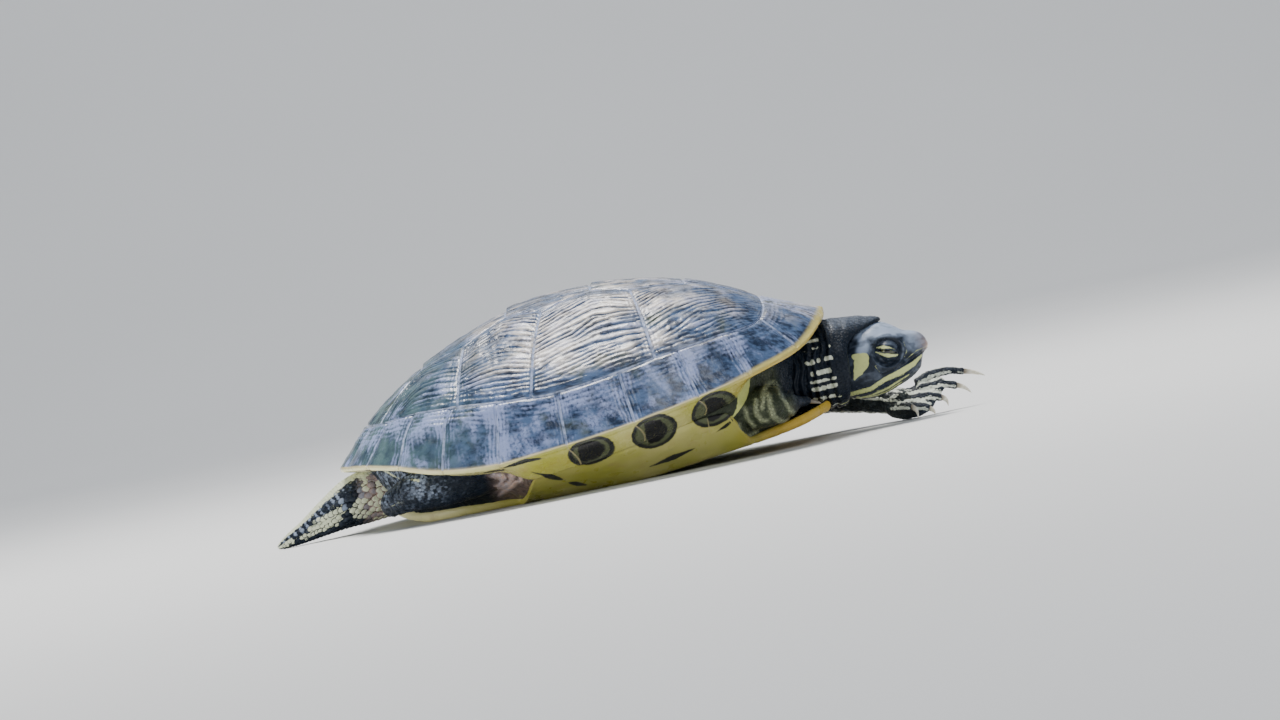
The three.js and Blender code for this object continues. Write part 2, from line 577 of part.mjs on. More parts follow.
// The same solid with every point moved outward, to cut a neighbour clear of it.
function grown(solid, amount) {
  const { vertProperties, triVerts } = solid.getMesh();
  const geometry = new THREE.BufferGeometry()
    .setAttribute("position", new THREE.BufferAttribute(vertProperties.slice(), 3))
    .setIndex(new THREE.BufferAttribute(triVerts, 1));
  geometry.computeVertexNormals();
  const [place, normal] = [geometry.getAttribute("position"), geometry.getAttribute("normal")];
  for (let i = 0; i < place.count; i += 1) {
    const moved = new THREE.Vector3().fromBufferAttribute(place, i)
      .addScaledVector(new THREE.Vector3().fromBufferAttribute(normal, i), amount);
    place.setXYZ(i, moved.x, moved.y, moved.z);
  }
  return solidFromGeometry(geometry);
}

// A block that covers all on one side of a plane, for parting cuts.
function halfSpace(point, direction) {
  const size = 400;
  const geometry = new THREE.BoxGeometry(size, size, size);
  geometry.translate(0, 0, size / 2);
  const normal = new THREE.Vector3(...direction).normalize();
  const turn = new THREE.Quaternion().setFromUnitVectors(new THREE.Vector3(0, 0, 1), normal);
  geometry.applyQuaternion(turn).translate(...point);
  return solidFromGeometry(geometry);
}

const largest = (solid) => solid.decompose().sort((a, b) => b.volume() - a.volume())[0];
const aboveFloor = (solid) => solid.intersect(halfSpace([0, 0, 0], [0, 0, 1]));

// Cuts a solid at a plane into the part ahead of it and the part behind, a gap apart.
function parted(solid, point, direction) {
  const back = direction.map((v) => -v);
  const length = Math.hypot(...direction);
  const moved = point.map((v, i) => v - (direction[i] / length) * GAP);
  const [ahead, behind] = [halfSpace(point, direction), halfSpace(moved, back)];
  return [largest(solid.intersect(ahead)), largest(solid.intersect(behind))];
}

// ---------- trunk ----------
// The flesh inside the shell. Between plastron and lip its surface slants outward over the legs.
function trunkSolid() {
  const scale = INNER_SCALE - FLESH_ROOM / HALF_WIDTH;
  const count = TRUNK_POINTS;
  const directions = Array.from({ length: count }, (_, i) => (360 * i) / count)
    .map((d) => (d > 180 ? d - 360 : d));
  const topRing = (share) => directions.map((d) => {
    const [x, y] = rimPoint(d, share * scale);
    return new THREE.Vector3(x, y, domeHeight(...rimPoint(d, share)) - SHELL_THICK - FLESH_ROOM);
  });
  const outerShare = scale - 0.01;
  const outer = directions.map((d) => {
    const [x, y] = rimPoint(d, outerShare);
    return new THREE.Vector3(x, y, rimHeight(d) - lipDrop(x) + 1);
  });
  // Share of the way out at which the flesh leaves the plastron.
  const footShare = directions.map((d) => {
    let share = outerShare - 0.03;
    const clear = (s) => {
      const [x, y] = rimPoint(d, s);
      return x < FLESH_FRONT && x > FLESH_REAR && Math.abs(y) < plastronHalf(x) - 2;
    };
    while (share > 0.3 && !clear(share)) share -= 0.01;
    return share;
  });
  const bottomRing = (part) => directions.map((d, i) => {
    const [x, y] = rimPoint(d, footShare[i] * part);
    return new THREE.Vector3(x, y, plastronTop(x, y) + FLESH_ROOM);
  });
  const rings = [0.35, 0.7, 1].map(bottomRing);
  rings.push(outer, ...INNER_RINGS.map(topRing));
  const faces = rings.slice(0, -1).flatMap((ring, i) => band(ring, rings[i + 1]));
  const under = new THREE.Vector3(WIDEST_X, 0, plastronTop(WIDEST_X, 0) + FLESH_ROOM);
  const over = new THREE.Vector3(WIDEST_X, 0, domeHeight(WIDEST_X, 0) - SHELL_THICK - FLESH_ROOM);
  faces.push(...fan([...rings[0]].reverse(), under), ...fan(rings.at(-1), over));
  return solidFromTriangles(faces);
}

// ---------- head and neck ----------
const SIDEWAYS = new THREE.Vector3(0, 1, 0);
const UPWARDS = new THREE.Vector3(0, 0, 1);

function headSolid() {
  const rings = HEAD_STATIONS.map((x) => {
    const top = along(HEAD_TOP, x);
    const base = along(HEAD_BASE, x);
    const widest = lerp(base, top, HEAD_WIDEST);
    const half = along(HEAD_HALF, x);
    const [above, below] = [top - widest, widest - base];
    const shape = { half, above, below, power: HEAD_POWER, count: HEAD_POINTS };
    return section(new THREE.Vector3(x, 0, widest), SIDEWAYS, UPWARDS, shape);
  });
  return loftSolid(rings);
}

// The neck with its folds and the loose hood, whose front edge reaches over the crown.
function neckSolid() {
  const rings = NECK_RINGS.map(([x, reach, half, top, base]) => {
    const middle = (top + base) / 2;
    return Array.from({ length: NECK_POINTS }, (_, i) => {
      const angle = (2 * Math.PI * i) / NECK_POINTS;
      const rise = Math.sin(angle);
      const forward = rise > 0 ? reach * rise ** 3 : -0.15 * reach * rise ** 2;
      const up = (top - middle) * signedPower(rise, 0.92);
      const across = half * signedPower(Math.cos(angle), 0.9);
      return new THREE.Vector3(x + forward, across, middle + up);
    });
  });
  return loftSolid(rings);
}

// All that is below the mouth line and ahead of its corner.
function jawBlock(grow) {
  const [x, y, z] = MOUTH_AT;
  const below = halfSpace([x, y, z + grow], MOUTH_DOWN);
  return below.intersect(halfSpace([JAW_HINGE - grow, 0, 0], [1, 0, 0]));
}

function eyeSolid(side, grow) {
  const ball = new THREE.SphereGeometry(EYE_RADIUS + grow, 10, 6);
  ball.translate(EYE_AT[0], side * EYE_AT[1], EYE_AT[2]);
  return solidFromGeometry(ball);
}

// ---------- feet and claws ----------
// A digit runs through its points and tapers; the claw begins a gap beyond its flat end.
function digitSolid(points, { wide, tall, lean }) {
  const stations = points.map((p, i) => {
    const taper = 1 - (DIGIT_TAPER * i) / (points.length - 1);
    return [...p, wide * taper, tall * taper];
  });
  return limbSolid(stations, { lean, steps: points.length > 3 ? 4 : 2, count: DIGIT_POINTS, round: false });
}

function clawSolid(points, tip, radius) {
  const [before, end] = points.slice(-2).map((p) => new THREE.Vector3(...p));
  const forward = end.clone().sub(before).normalize();
  const root = end.clone().addScaledVector(forward, GAP);
  const point = new THREE.Vector3(...tip);
  const knee = root.clone().addScaledVector(forward, root.distanceTo(point) * CLAW_KNEE);
  const path = new THREE.QuadraticBezierCurve3(root, knee, point);
  const rings = [0, 0.5, 0.96].map((t) => {
    const ahead = path.getTangent(t);
    const lean = Math.abs(ahead.z) > 0.9 ? new THREE.Vector3(1, 0, 0) : UPWARDS;
    const sideways = new THREE.Vector3().crossVectors(ahead, lean).normalize();
    const upwards = new THREE.Vector3().crossVectors(sideways, ahead);
    const size = radius * (1 - CLAW_TAPER * t);
    const shape = { half: size, above: size, below: size, count: CLAW_POINTS };
    return section(path.getPoint(t), sideways, upwards, shape);
  });
  return loftSolid(rings);
}

// ---------- the animal ----------
const turtle = new THREE.Group();
const COLOURS = {
  shell: ["#4a5a66", 0.45], belly: ["#b3a04a", 0.5], skin: ["#2c3a3c", 0.6],
  tail: ["#6f7460", 0.65], eye: ["#1a1d10", 0.1], claw: ["#cfc9b2", 0.4],
};

function addNode(name, solid, look) {
  const { vertProperties, triVerts } = solid.getMesh();
  const geometry = new THREE.BufferGeometry()
    .setAttribute("position", new THREE.BufferAttribute(vertProperties, 3))
    .setIndex(new THREE.BufferAttribute(triVerts, 1));
  const [color, roughness] = COLOURS[look];
  const mesh = new THREE.Mesh(geometry, new THREE.MeshStandardMaterial({ color, roughness, metalness: 0 }));
  mesh.name = name;
  turtle.add(mesh);
}

const shellRoom = carapaceRoom(GAP);
const plastronRoom = plastronSolid(GAP);
const clearOfShell = (solid) => solid.subtract(shellRoom).subtract(plastronRoom);
const trunk = trunkSolid();
const trunkRoom = grown(trunk, GAP);
const clearOfBody = (solid) => largest(clearOfShell(solid).subtract(trunkRoom));

addNode("carapace", carapaceSolid(), "shell");
addNode("plastron", plastronSolid(0), "belly");
addNode("trunk", trunk, "skin");

const head = headSolid();
const headRoom = grown(head, GAP);
const socketed = [-1, 1].reduce((solid, side) => solid.subtract(eyeSolid(side, GAP)), head);
addNode("head", largest(socketed.subtract(jawBlock(GAP))), "skin");
addNode("jaw", largest(socketed.intersect(jawBlock(0))), "skin");
const neck = clearOfBody(neckSolid().subtract(headRoom));
const neckRoom = grown(neckSolid(), GAP);
addNode("neck", neck, "skin");
[["right", -1], ["left", 1]].forEach(([name, side]) => addNode(`eye_${name}`, eyeSolid(side, 0), "eye"));

LIMBS.forEach(({ name, foot, path, palm, cut, digits, style }) => {
  const whole = digits.reduce(
    (solid, { points }) => solid.add(digitSolid(points, style)),
    limbSolid(path, { round: false }).add(limbSolid(palm, { lean: style.lean, steps: 4 })),
  );
  const clear = clearOfBody(aboveFloor(whole).subtract(neckRoom).subtract(headRoom));
  const [footPart, legPart] = parted(clear, ...cut);
  addNode(name, legPart, "skin");
  addNode(foot, footPart, "skin");
  digits.forEach(({ points, tip }, i) => {
    addNode(`${foot}_claw_${i + 1}`, clawSolid(points, tip, style.claw), "claw");
  });
});

addNode("tail", clearOfBody(aboveFloor(limbSolid(TAIL_PATH, { steps: 10, count: 12 }))), "tail");

// The origin is the middle of the animal's length and width, on the floor.
const extent = new THREE.Box3().setFromObject(turtle);
turtle.position.set(-(extent.min.x + extent.max.x) / 2, -(extent.min.y + extent.max.y) / 2, -extent.min.z);

export default turtle;
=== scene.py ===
"""A yellow-bellied slider turtle at rest, as a still life-size model.

Shapes are worked out in millimetres in the shell's own frame: +X the way the turtle faces, +Y its
left side, +Z up, the floor at z = 0. build_mesh() turns them into metres in the row frame.
"""
import math

import bpy
import numpy as np
from mathutils import Matrix, Vector
from mathutils.bvhtree import BVHTree
from mathutils.kdtree import KDTree


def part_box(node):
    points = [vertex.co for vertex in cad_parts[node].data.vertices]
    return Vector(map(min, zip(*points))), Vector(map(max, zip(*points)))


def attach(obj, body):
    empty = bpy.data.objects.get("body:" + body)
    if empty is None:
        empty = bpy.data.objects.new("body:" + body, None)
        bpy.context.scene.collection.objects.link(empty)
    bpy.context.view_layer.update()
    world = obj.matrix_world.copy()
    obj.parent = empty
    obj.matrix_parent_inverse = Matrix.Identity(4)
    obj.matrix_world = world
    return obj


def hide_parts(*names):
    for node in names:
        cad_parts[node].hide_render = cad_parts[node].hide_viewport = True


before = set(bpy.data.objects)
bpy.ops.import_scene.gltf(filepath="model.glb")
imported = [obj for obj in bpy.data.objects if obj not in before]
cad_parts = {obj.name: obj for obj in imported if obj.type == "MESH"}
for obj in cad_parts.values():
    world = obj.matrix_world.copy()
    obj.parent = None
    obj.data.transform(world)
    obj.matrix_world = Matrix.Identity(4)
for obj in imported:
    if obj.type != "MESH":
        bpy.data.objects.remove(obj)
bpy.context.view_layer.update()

MM = 0.001
SHELL_FRONT = 80.4
ROW_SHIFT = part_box("carapace")[1].x / MM - SHELL_FRONT  # from the shell's own frame to the row frame

# ---------- driving dimensions of the shell, in millimetres ----------
SHELL_REAR = -109.5
WIDEST_X = -22
HALF_WIDTH = 72
ROUNDNESS = 2.3  # power of the outline's oval
SHOULDER = 0.9  # share of the half width at which the dome turns down to the rim
SHOULDER_DROP = 0.615  # share of the dome's height that is lost by then
SHOULDER_POWER = 2.4  # how squarely the flanks arch
END_POWER = 2.2  # how squarely the dome arches at its front and rear
FRONT_END, REAR_END = (38, 68), (72, 100)  # x and -x over which flanks give way to ends
MARGINAL_START = 0.91  # share of the way out to the rim at which the marginals begin at the sides
NUCHAL_REACH, REAR_REACH = 0.135, 0.055  # how much further in they begin at the front and the rear
NOTCH = 0.012  # depth of the rear rim's notches, as a share of the way out
LIP = 3.2  # how far the rim hangs down at the openings
LIP_BRIDGE = 9  # how far it does over the bridges
RIM_EDGE = 1.6  # thickness of its rounded edge
INNER_SCALE = 0.9  # size of the outline's inner copy that the lip reaches in to
BRIDGE_SHARE = 0.892  # size of the copy that the bridges reach out to
BRIDGE_REAR, BRIDGE_FRONT = (-50, -36), (38, 50)  # x over which the lip deepens to the bridges
BRIDGE_CURVE = 1.35  # power of the bridges' rise from the belly
LOBE_REAR, LOBE_FRONT = (-45, -36), (36, 47)  # x over which the plastron's lobes widen to the bridges
BELLY_HALF = 40  # half width of the plastron's flat middle
PLASTRON_THICK = 3
LOBE_LIP = 1.1  # how much thicker the edge of each lobe is
SEAM_DEPTH = 0.42
BRIDGE_SLANT = 3.5  # how far forward the seams under the rim run at the shell's widest place
BED_DEPTH = 1.1  # how far the bone lies under the horn
MIDLINE = [
    (-109.5, 25.6), (-94, 42), (-75, 55), (-51, 66.4), (-31, 72.6), (-13, 74.6),
    (9, 73.8), (31, 69.9), (49, 62.9), (60, 56.6), (80.4, 48.8),
]
RIM_STEP = 15  # degrees between the heights of the rim
RIM_HEIGHTS = [48.2, 44.4, 37.4, 32.6, 28, 23.6, 19.4, 17.2, 18.8, 23.2, 25.4, 25.7, 25.5]
# Directions from the shell's middle, in degrees from the front.
MARGINAL_SEAMS = [2.4, 16.5, 32, 50.5, 64.4, 78.7, 90.3, 104.5, 119.7, 134.3, 149, 163.9, 180]
FRONT_CORNER = 12.5  # corners of the foremost and the rearmost vertebral
REAR_CORNER = 154
COSTAL_FEET = [FRONT_CORNER, 70, 95.5, 117, REAR_CORNER]
COSTAL_TURNS = [36, 138]  # where the first and the last costal turn from foot to side
COSTAL_SLANTS = [0.3, 0.07, 0.02, -0.06]  # how much the ridges of each rise towards the front
VERTEBRAL_KNOBS = [0.2, 0.9, 1.1, 0.8, 0.3]
VERTEBRAL_EDGE = [(31, 21), (10.4, 28), (-4, 22), (-23.3, 31), (-37, 21), (-54, 28), (-72, 15)]
LOBE_HALF = [
    (-93, 12), (-88, 24), (-78, 34), (-62, 39.5), (-46, 40), (47, 38), (58, 34), (68, 27.5), (76, 13),
]
BELLY_LINE = [
    (-93, 5.2), (-88, 2.6), (-80, 0.2), (-70, 0), (0, 0), (10, 0.6), (36, 3.8), (58, 6.4), (76, 10.6),
]
PLASTRON_REAR, PLASTRON_FRONT = -93, 76


# ---------- small helpers ----------
UP = (0, 0, 1)
OUTSIDE = -9.0  # stands for a distance inside a mark wherever there is none
FLOOR_GAP = 0.02


def smooth(x, low, high):
    t = np.clip((x - low) / (high - low), 0, 1)
    return t * t * (3 - 2 * t)


def lerp(a, b, t):
    return a + (b - a) * t


def signed_power(v, p):
    return np.sign(v) * np.abs(v) ** p


def bump(x, width):
    return np.exp(-(x / width) ** 2)


def unit(vectors):
    return vectors / np.maximum(np.linalg.norm(vectors, axis=-1, keepdims=True), 1e-12)


def full_turn(count):
    return np.linspace(0, 2 * np.pi, count, endpoint=False)


def xyz(x, y, z):
    """Points from three coordinates, each of them an array or a number."""
    return np.stack(np.broadcast_arrays(x, y, z), axis=-1)


def distances(points, others):
    """Distance of every point from every one of some others, (points, others)."""
    return np.linalg.norm(points[:, None] - others[None], axis=2)


def above_floor(points):
    return np.maximum(points, (-np.inf, -np.inf, FLOOR_GAP))


def along(pairs, x):
    """Smooth curve through (x, value) pairs, at every x."""
    xs, ys = np.array(pairs, float).T
    last = len(xs) - 1
    before = np.maximum(np.arange(last + 1) - 1, 0)
    after = np.minimum(np.arange(last + 1) + 1, last)
    slope = (ys[after] - ys[before]) / (xs[after] - xs[before])
    x = np.clip(x, xs[0], xs[-1])
    i = np.clip(np.searchsorted(xs, x, side="right") - 1, 0, last - 1)
    step = xs[i + 1] - xs[i]
    t = (x - xs[i]) / step
    rise = (t ** 3 - 2 * t ** 2 + t) * slope[i] + (t ** 3 - t ** 2) * slope[i + 1]
    ease = 3 * t ** 2 - 2 * t ** 3
    return (1 - ease) * ys[i] + ease * ys[i + 1] + rise * step


LATTICE_SIDE = 48
LATTICE = np.random.default_rng(11).random((LATTICE_SIDE,) * 3)


def noise(points, size, seed):
    """Smooth noise from 0 to 1 at points (..., 3); size is one number, or one for each axis."""
    q = np.asarray(points) / size + 17.31 * seed + 100
    i = np.floor(q).astype(int)
    f = q - i
    f = f * f * (3 - 2 * f)
    total = 0
    for corner in np.ndindex(2, 2, 2):
        weight = np.prod(np.where(np.array(corner) == 1, f, 1 - f), axis=-1)
        total = total + weight * LATTICE[tuple(np.moveaxis((i + corner) % LATTICE_SIDE, -1, 0))]
    return total


def swing(points, size, seed):
    """The same noise about zero, from -0.5 to 0.5."""
    return noise(points, size, seed) - 0.5


def distance_run(points):
    """Distance along the first axis of a line or grid of points, from its start to each of them."""
    steps = np.linalg.norm(np.diff(points, axis=0), axis=-1)
    return np.concatenate([np.zeros_like(steps[:1]), np.cumsum(steps, axis=0)])


def resample(points, count):
    """A polyline redrawn with count points at even steps."""
    points = np.array(points, float)
    run = distance_run(points)
    at = np.linspace(0, run[-1], count)
    return np.stack([np.interp(at, run, column) for column in points.T], axis=1)


# ---------- meshes ----------
def grid_faces(rows, columns, closed=False):
    """Quads of a grid of points whose columns run on along the second axis."""
    r = np.arange(rows - 1)[:, None]
    c = np.arange(columns if closed else columns - 1)[None, :]
    d = (c + 1) % columns
    a, b = r * columns + c, r * columns + d
    quads = np.stack([a, b, b + columns, a + columns], axis=-1)
    return quads.reshape(-1, 4)


class Shape:
    """Points, quads and per-point values that are gathered before they become one mesh."""

    def __init__(self):
        self.points, self.faces, self.values = [], [], {}
        self.count = 0

    def add(self, points, faces, **values):
        points = np.asarray(points, float).reshape(-1, 3)
        self.faces.append(np.asarray(faces) + self.count)
        self.points.append(points)
        self.count += len(points)
        for key, value in values.items():
            flat = np.broadcast_to(np.asarray(value, float), np.shape(value) or (len(points),))
            self.values.setdefault(key, []).append(flat.reshape(-1))

    def add_mirrored(self, points, faces, **values):
        self.add(points, faces, **values)
        self.add(np.asarray(points) * (1, -1, 1), np.asarray(faces)[:, ::-1], **values)


def linked(name, data):
    """A new object of the scene."""
    made = bpy.data.objects.new(name, data)
    bpy.context.scene.collection.objects.link(made)
    return made


def build_mesh(name, shape, material, replaced=(), unwrap=None):
    """One Blender piece from a Shape, riding on the model's only body.

    unwrap holds a place on the map for every point."""
    points = np.concatenate(shape.points)
    faces = np.concatenate(shape.faces)
    mesh = bpy.data.meshes.new(name)
    mesh.vertices.add(len(points))
    row = (points + (ROW_SHIFT, 0, 0)) * MM
    mesh.vertices.foreach_set("co", row.astype(np.float32).ravel())
    mesh.loops.add(faces.size)
    mesh.loops.foreach_set("vertex_index", faces.astype(np.int32).ravel())
    mesh.polygons.add(len(faces))
    mesh.polygons.foreach_set("loop_start", np.arange(0, faces.size, faces.shape[1], dtype=np.int32))
    mesh.update(calc_edges=True)
    mesh.validate()
    mesh.polygons.foreach_set("use_smooth", np.ones(len(mesh.polygons), bool))
    for key, parts in shape.values.items():
        attribute = mesh.attributes.new(key, "FLOAT", "POINT")
        attribute.data.foreach_set("value", np.concatenate(parts).astype(np.float32))
    if unwrap is not None:
        corner = np.zeros(len(mesh.loops), np.int32)
        mesh.loops.foreach_get("vertex_index", corner)
        mesh.uv_layers.new(name="OFBake").data.foreach_set("uv", unwrap[corner].astype(np.float32).ravel())
    mesh.materials.append(material)
    piece = linked(name, mesh)
    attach(piece, "root")
    if replaced:
        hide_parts(*replaced)
    return piece


def grid_normals(points):
    """Unit normals of a grid of points, (rows, columns, 3)."""
    return unit(np.cross(np.gradient(points, axis=0), np.gradient(points, axis=1)))


def ring_normals(rings):
    """Unit normals of a grid whose rows close into rings."""
    return grid_normals(np.concatenate([rings, rings[:, :1]], axis=1))[:, :-1]


def facing(normal, way):
    """Normals turned over where they point away from a way."""
    return normal * np.where((normal * way).sum(axis=-1, keepdims=True) < 0, -1, 1)


# ---------- the shell's own surface, as the solids have it ----------
def rim_point(direction, share):
    """x and y of the point at a share of the way out to the rim, in a direction in degrees."""
    angle = np.radians(direction)
    reach = np.where(np.cos(angle) > 0, SHELL_FRONT - WIDEST_X, WIDEST_X - SHELL_REAR)
    x = WIDEST_X + share * reach * signed_power(np.cos(angle), 2 / ROUNDNESS)
    return x, share * HALF_WIDTH * signed_power(np.sin(angle), 2 / ROUNDNESS)


def reach_at(x):
    """Distance from the shell's widest place to its front or rear, whichever x is towards."""
    return np.where(x > WIDEST_X, SHELL_FRONT - WIDEST_X, WIDEST_X - SHELL_REAR)


def shell_place(x, y):
    """Share of the way out to the rim and direction in degrees, from the front, of a point in plan."""
    u = np.abs(x - WIDEST_X) / reach_at(x)
    v = np.abs(y) / HALF_WIDTH
    share = (u ** ROUNDNESS + v ** ROUNDNESS) ** (1 / ROUNDNESS)
    quarter = np.degrees(np.arctan2(v ** (ROUNDNESS / 2), u ** (ROUNDNESS / 2)))
    return share, np.where(x > WIDEST_X, quarter, 180 - quarter)


def rim_height(direction):
    return along([(RIM_STEP * i, h) for i, h in enumerate(RIM_HEIGHTS)], np.abs(direction))


def outline_half(x, scale=1.0):
    """Half width of the shell's outline at x, or of a smaller copy of it."""
    u = np.abs(x - WIDEST_X) / (reach_at(x) * scale)
    return scale * HALF_WIDTH * np.maximum(1 - u ** ROUNDNESS, 0) ** (1 / ROUNDNESS)


def dome_height(x, y):
    """Height of the carapace, which is the rim's own height from the rim outwards."""
    x, y = np.asarray(x, float), np.asarray(y, float)
    share, direction = shell_place(x, y)
    rim = rim_height(direction)
    n = np.clip(np.abs(y) / np.maximum(outline_half(x), 1e-6), 0, 1)
    shoulder = 1 - SHOULDER_DROP * np.minimum(n / SHOULDER, 1) ** SHOULDER_POWER
    side = np.where(n < SHOULDER, shoulder, shoulder * (1 - n) / (1 - SHOULDER))
    end = 1 - n ** END_POWER
    at_end = np.maximum(smooth(x, *FRONT_END), smooth(-x, *REAR_END))
    height = rim + (along(MIDLINE, x) - rim) * lerp(side, end, at_end)
    return np.where(share >= 1, rim, height)


def marginal_share(direction):
    """Share of the way out to the rim at which the marginals begin."""
    c = np.cos(np.radians(direction))
    return MARGINAL_START - np.where(c > 0, NUCHAL_REACH * np.abs(c) ** 8, REAR_REACH * smooth(-c, 0, 0.5))


def seam_distance(direction):
    """Degrees to the nearest seam between marginals."""
    gaps = np.abs(np.abs(direction)[..., None] - np.array(MARGINAL_SEAMS))
    return gaps.min(axis=-1)


def rim_share(direction):
    """The rim's own share of the way out, which dips a little at the seams of the rear."""
    a = np.abs(direction)
    return 1 - NOTCH * smooth(a, 100, 140) * (1 - smooth(seam_distance(a), 0, 4))


def ring_line(start, end, count=24):
    """The line between marginals and the rest, from one direction to another."""
    direction = np.linspace(start, end, count)
    return np.stack(rim_point(direction, marginal_share(direction)), axis=1)


def back_edge():
    """Corners of the vertebrals on the left side, from front to rear."""
    first, last = (ring_line(corner, corner, 1)[0] for corner in (FRONT_CORNER, REAR_CORNER))
    return [first, *VERTEBRAL_EDGE, last]


# ---------- scutes ----------
COSTAL_GRID = (118, 104)  # points along and across each scute
VERTEBRAL_GRID = (104, 132)
MARGINAL_STEPS = 56  # points along a marginal
NUCHAL_STEPS = 24  # points along the narrow one at the front
OVER_STEPS, EDGE_STEPS, UNDER_STEPS, INSIDE_STEPS = 34, 9, 24, 6  # points across a marginal's four parts
INSIDE_SCALE, INSIDE_RISE = 0.85, 9  # how far in and up the last of them goes, out of sight
# How pale the marginals are, by direction: partly faded horn, partly painted highlight, strongest at the
# front.
WORN_AND_SHEEN_BY_DIRECTION = [(0, 0.9), (10, 0.7), (20, 0.4), (50, 0.42), (90, 0.58), (180, 0.48)]


def patch(bottom, top, front, rear, rows, columns):
    """A grid in plan between four lines. bottom and top run front to rear, the others bottom to top."""
    bottom, top = resample(bottom, rows), resample(top, rows)
    front, rear = resample(front, columns), resample(rear, columns)
    u = np.linspace(0, 1, rows)[:, None, None]
    v = np.linspace(0, 1, columns)[None, :, None]
    ruled = lerp(bottom[:, None], top[:, None], v) + lerp(front[None], rear[None], u)
    corners = lerp(lerp(bottom[0], bottom[-1], u), lerp(top[0], top[-1], u), v)
    return ruled - corners


def edge_runs(points):
    """Distances over the surface from the front, rear, bottom and top line of a grid."""
    u = distance_run(points)
    v = distance_run(points.swapaxes(0, 1)).T
    return u, u[-1:] - u, v, v[:, -1:] - v


def scute_edge(edge):
    """Drop of a scute's surface within a millimetre of its edge, where it goes down into the seam."""
    lip = 1 - np.clip(edge, 0, 1)
    return -SEAM_DEPTH * lip ** 1.6 - np.where(edge < 1e-6, 0.3, 0)


def growth_lines(run, spacing, width):
    """Lines parallel to a seam, fading away from it."""
    return (0.5 + 0.5 * np.cos(2 * np.pi * run / spacing)) * (1 - smooth(run, width * 0.4, width))


def worn_run(points, run, seed):
    """Distance from a seam, made uneven so that lines drawn by it wander."""
    return run + 1.3 * swing(points, 5.5, seed) + 0.5 * swing(points, 1.8, seed + 1)


def long_ridges(along_run, across, spacing, seed):
    """Broad wavy ridges running front to rear, parted by narrow grooves that merge and fade. 0 to 1."""
    place = xyz(along_run, across, 0)
    ripple = 0.35 * swing(place, (5, 3, 1), seed + 1)

    def grooves(step, shift):
        wave = 2.2 * swing(place, (19, 10, 1), seed + shift) + ripple
        return (0.5 + 0.5 * np.cos(2 * np.pi * (across / step + wave))) ** 3.2

    blend = smooth(noise(place, (15, 8, 1), seed + 4), 0.42, 0.58)
    groove = lerp(grooves(spacing, 0), grooves(spacing * 0.72, 6), blend)
    fading = smooth(noise(place, (12, 3.4, 1), seed + 3), 0.18, 0.5)
    return 1 - groove * lerp(0.25, 1, fading)


def add_scute(shape, plan, relief, mirrored):
    """Lifts a scute's grid in plan onto the dome, with relief(points, runs) as its height and paleness, which
    is partly painted highlight.
    """
    x, y = plan[..., 0], plan[..., 1]
    points = xyz(x, y, dome_height(x, y))
    runs = edge_runs(points)
    edge = np.min(runs, axis=0)
    height, wear = relief(points, runs)
    height = height * smooth(edge, 0, 1.2) + scute_edge(edge)
    points = points + facing(grid_normals(points), UP) * height[..., None]
    add = shape.add_mirrored if mirrored else shape.add
    add(points, grid_faces(*plan.shape[:2]), seam=edge, wear=wear)


def costal_relief(seed, slant, smooth_front):
    """Relief of a costal scute. slant tips its ridges up towards the front."""
    def relief(points, runs):
        front, rear, bottom, top = runs
        tall = bottom + top
        across = bottom / tall * tall.mean() + slant * front
        ridges = long_ridges(front, across, 3.1, seed)
        inland = smooth(bottom, 2.5, 9) * smooth(top, 0, 5) * lerp(0.35, 1, smooth(front, 0, smooth_front))
        patchy = 0.35 + 0.65 * smooth(noise(points, 21, seed + 5), 0.3, 0.62)
        strength = inland * patchy
        lines = growth_lines(worn_run(points, np.minimum(front, rear), seed + 11), 1.5, 5)
        low = growth_lines(worn_run(points, bottom, seed + 13), 2.1, 11)
        dents = swing(points, 4.6, seed + 7)
        rough = swing(points, 1.3, seed + 9)
        height = 0.8 * (ridges - 0.75) * strength + 0.08 * lines + 0.2 * low + 0.5 * dents + 0.16 * rough
        height += 0.45 * smooth(np.min(runs, axis=0), 0, 9)
        return height, lerp(0.42, ridges, strength) * 0.85 + 0.5 * dents + 0.2 * low + 0.12 * lines
    return relief


def vertebral_relief(seed, knob):
    """Relief of a vertebral scute, with a low knob at its rear."""
    def relief(points, runs):
        front, rear, bottom, top = runs
        share = front / np.maximum(front + rear, 1e-6)
        y = points[..., 1]
        ridges = long_ridges(front, y, 3.3, seed)
        lines = growth_lines(worn_run(points, np.minimum(bottom, top), seed + 11), 1.7, 5)
        keel = knob * bump(y, 7.5) * share ** 1.6
        dents = swing(points, 4.2, seed + 7)
        rough = swing(points, 1.3, seed + 9)
        height = 0.3 * (ridges - 0.75) + 0.1 * lines + keel + 0.5 * dents + 0.16 * rough
        return height, 0.12 + 0.42 * ridges + 0.6 * dents + 0.25 * lines
    return relief


def costals():
    """The four costal scutes of each side."""
    shape = Shape()
    edge = back_edge()
    for i, slant in enumerate(COSTAL_SLANTS):
        start, end = COSTAL_FEET[i:i + 2]
        foremost, rearmost = i == 0, i == len(COSTAL_SLANTS) - 1
        top = edge[2 * i:2 * i + 3]
        bottom = ring_line(COSTAL_TURNS[0] if foremost else start, COSTAL_TURNS[1] if rearmost else end)
        front = ring_line(COSTAL_TURNS[0], start) if foremost else [bottom[0], top[0]]
        rear = ring_line(COSTAL_TURNS[1], end) if rearmost else [bottom[-1], top[-1]]
        relief = costal_relief(20 + 7 * i, slant, 26 if foremost else 3)
        add_scute(shape, patch(bottom, top, front, rear, *COSTAL_GRID), relief, mirrored=True)
    return shape


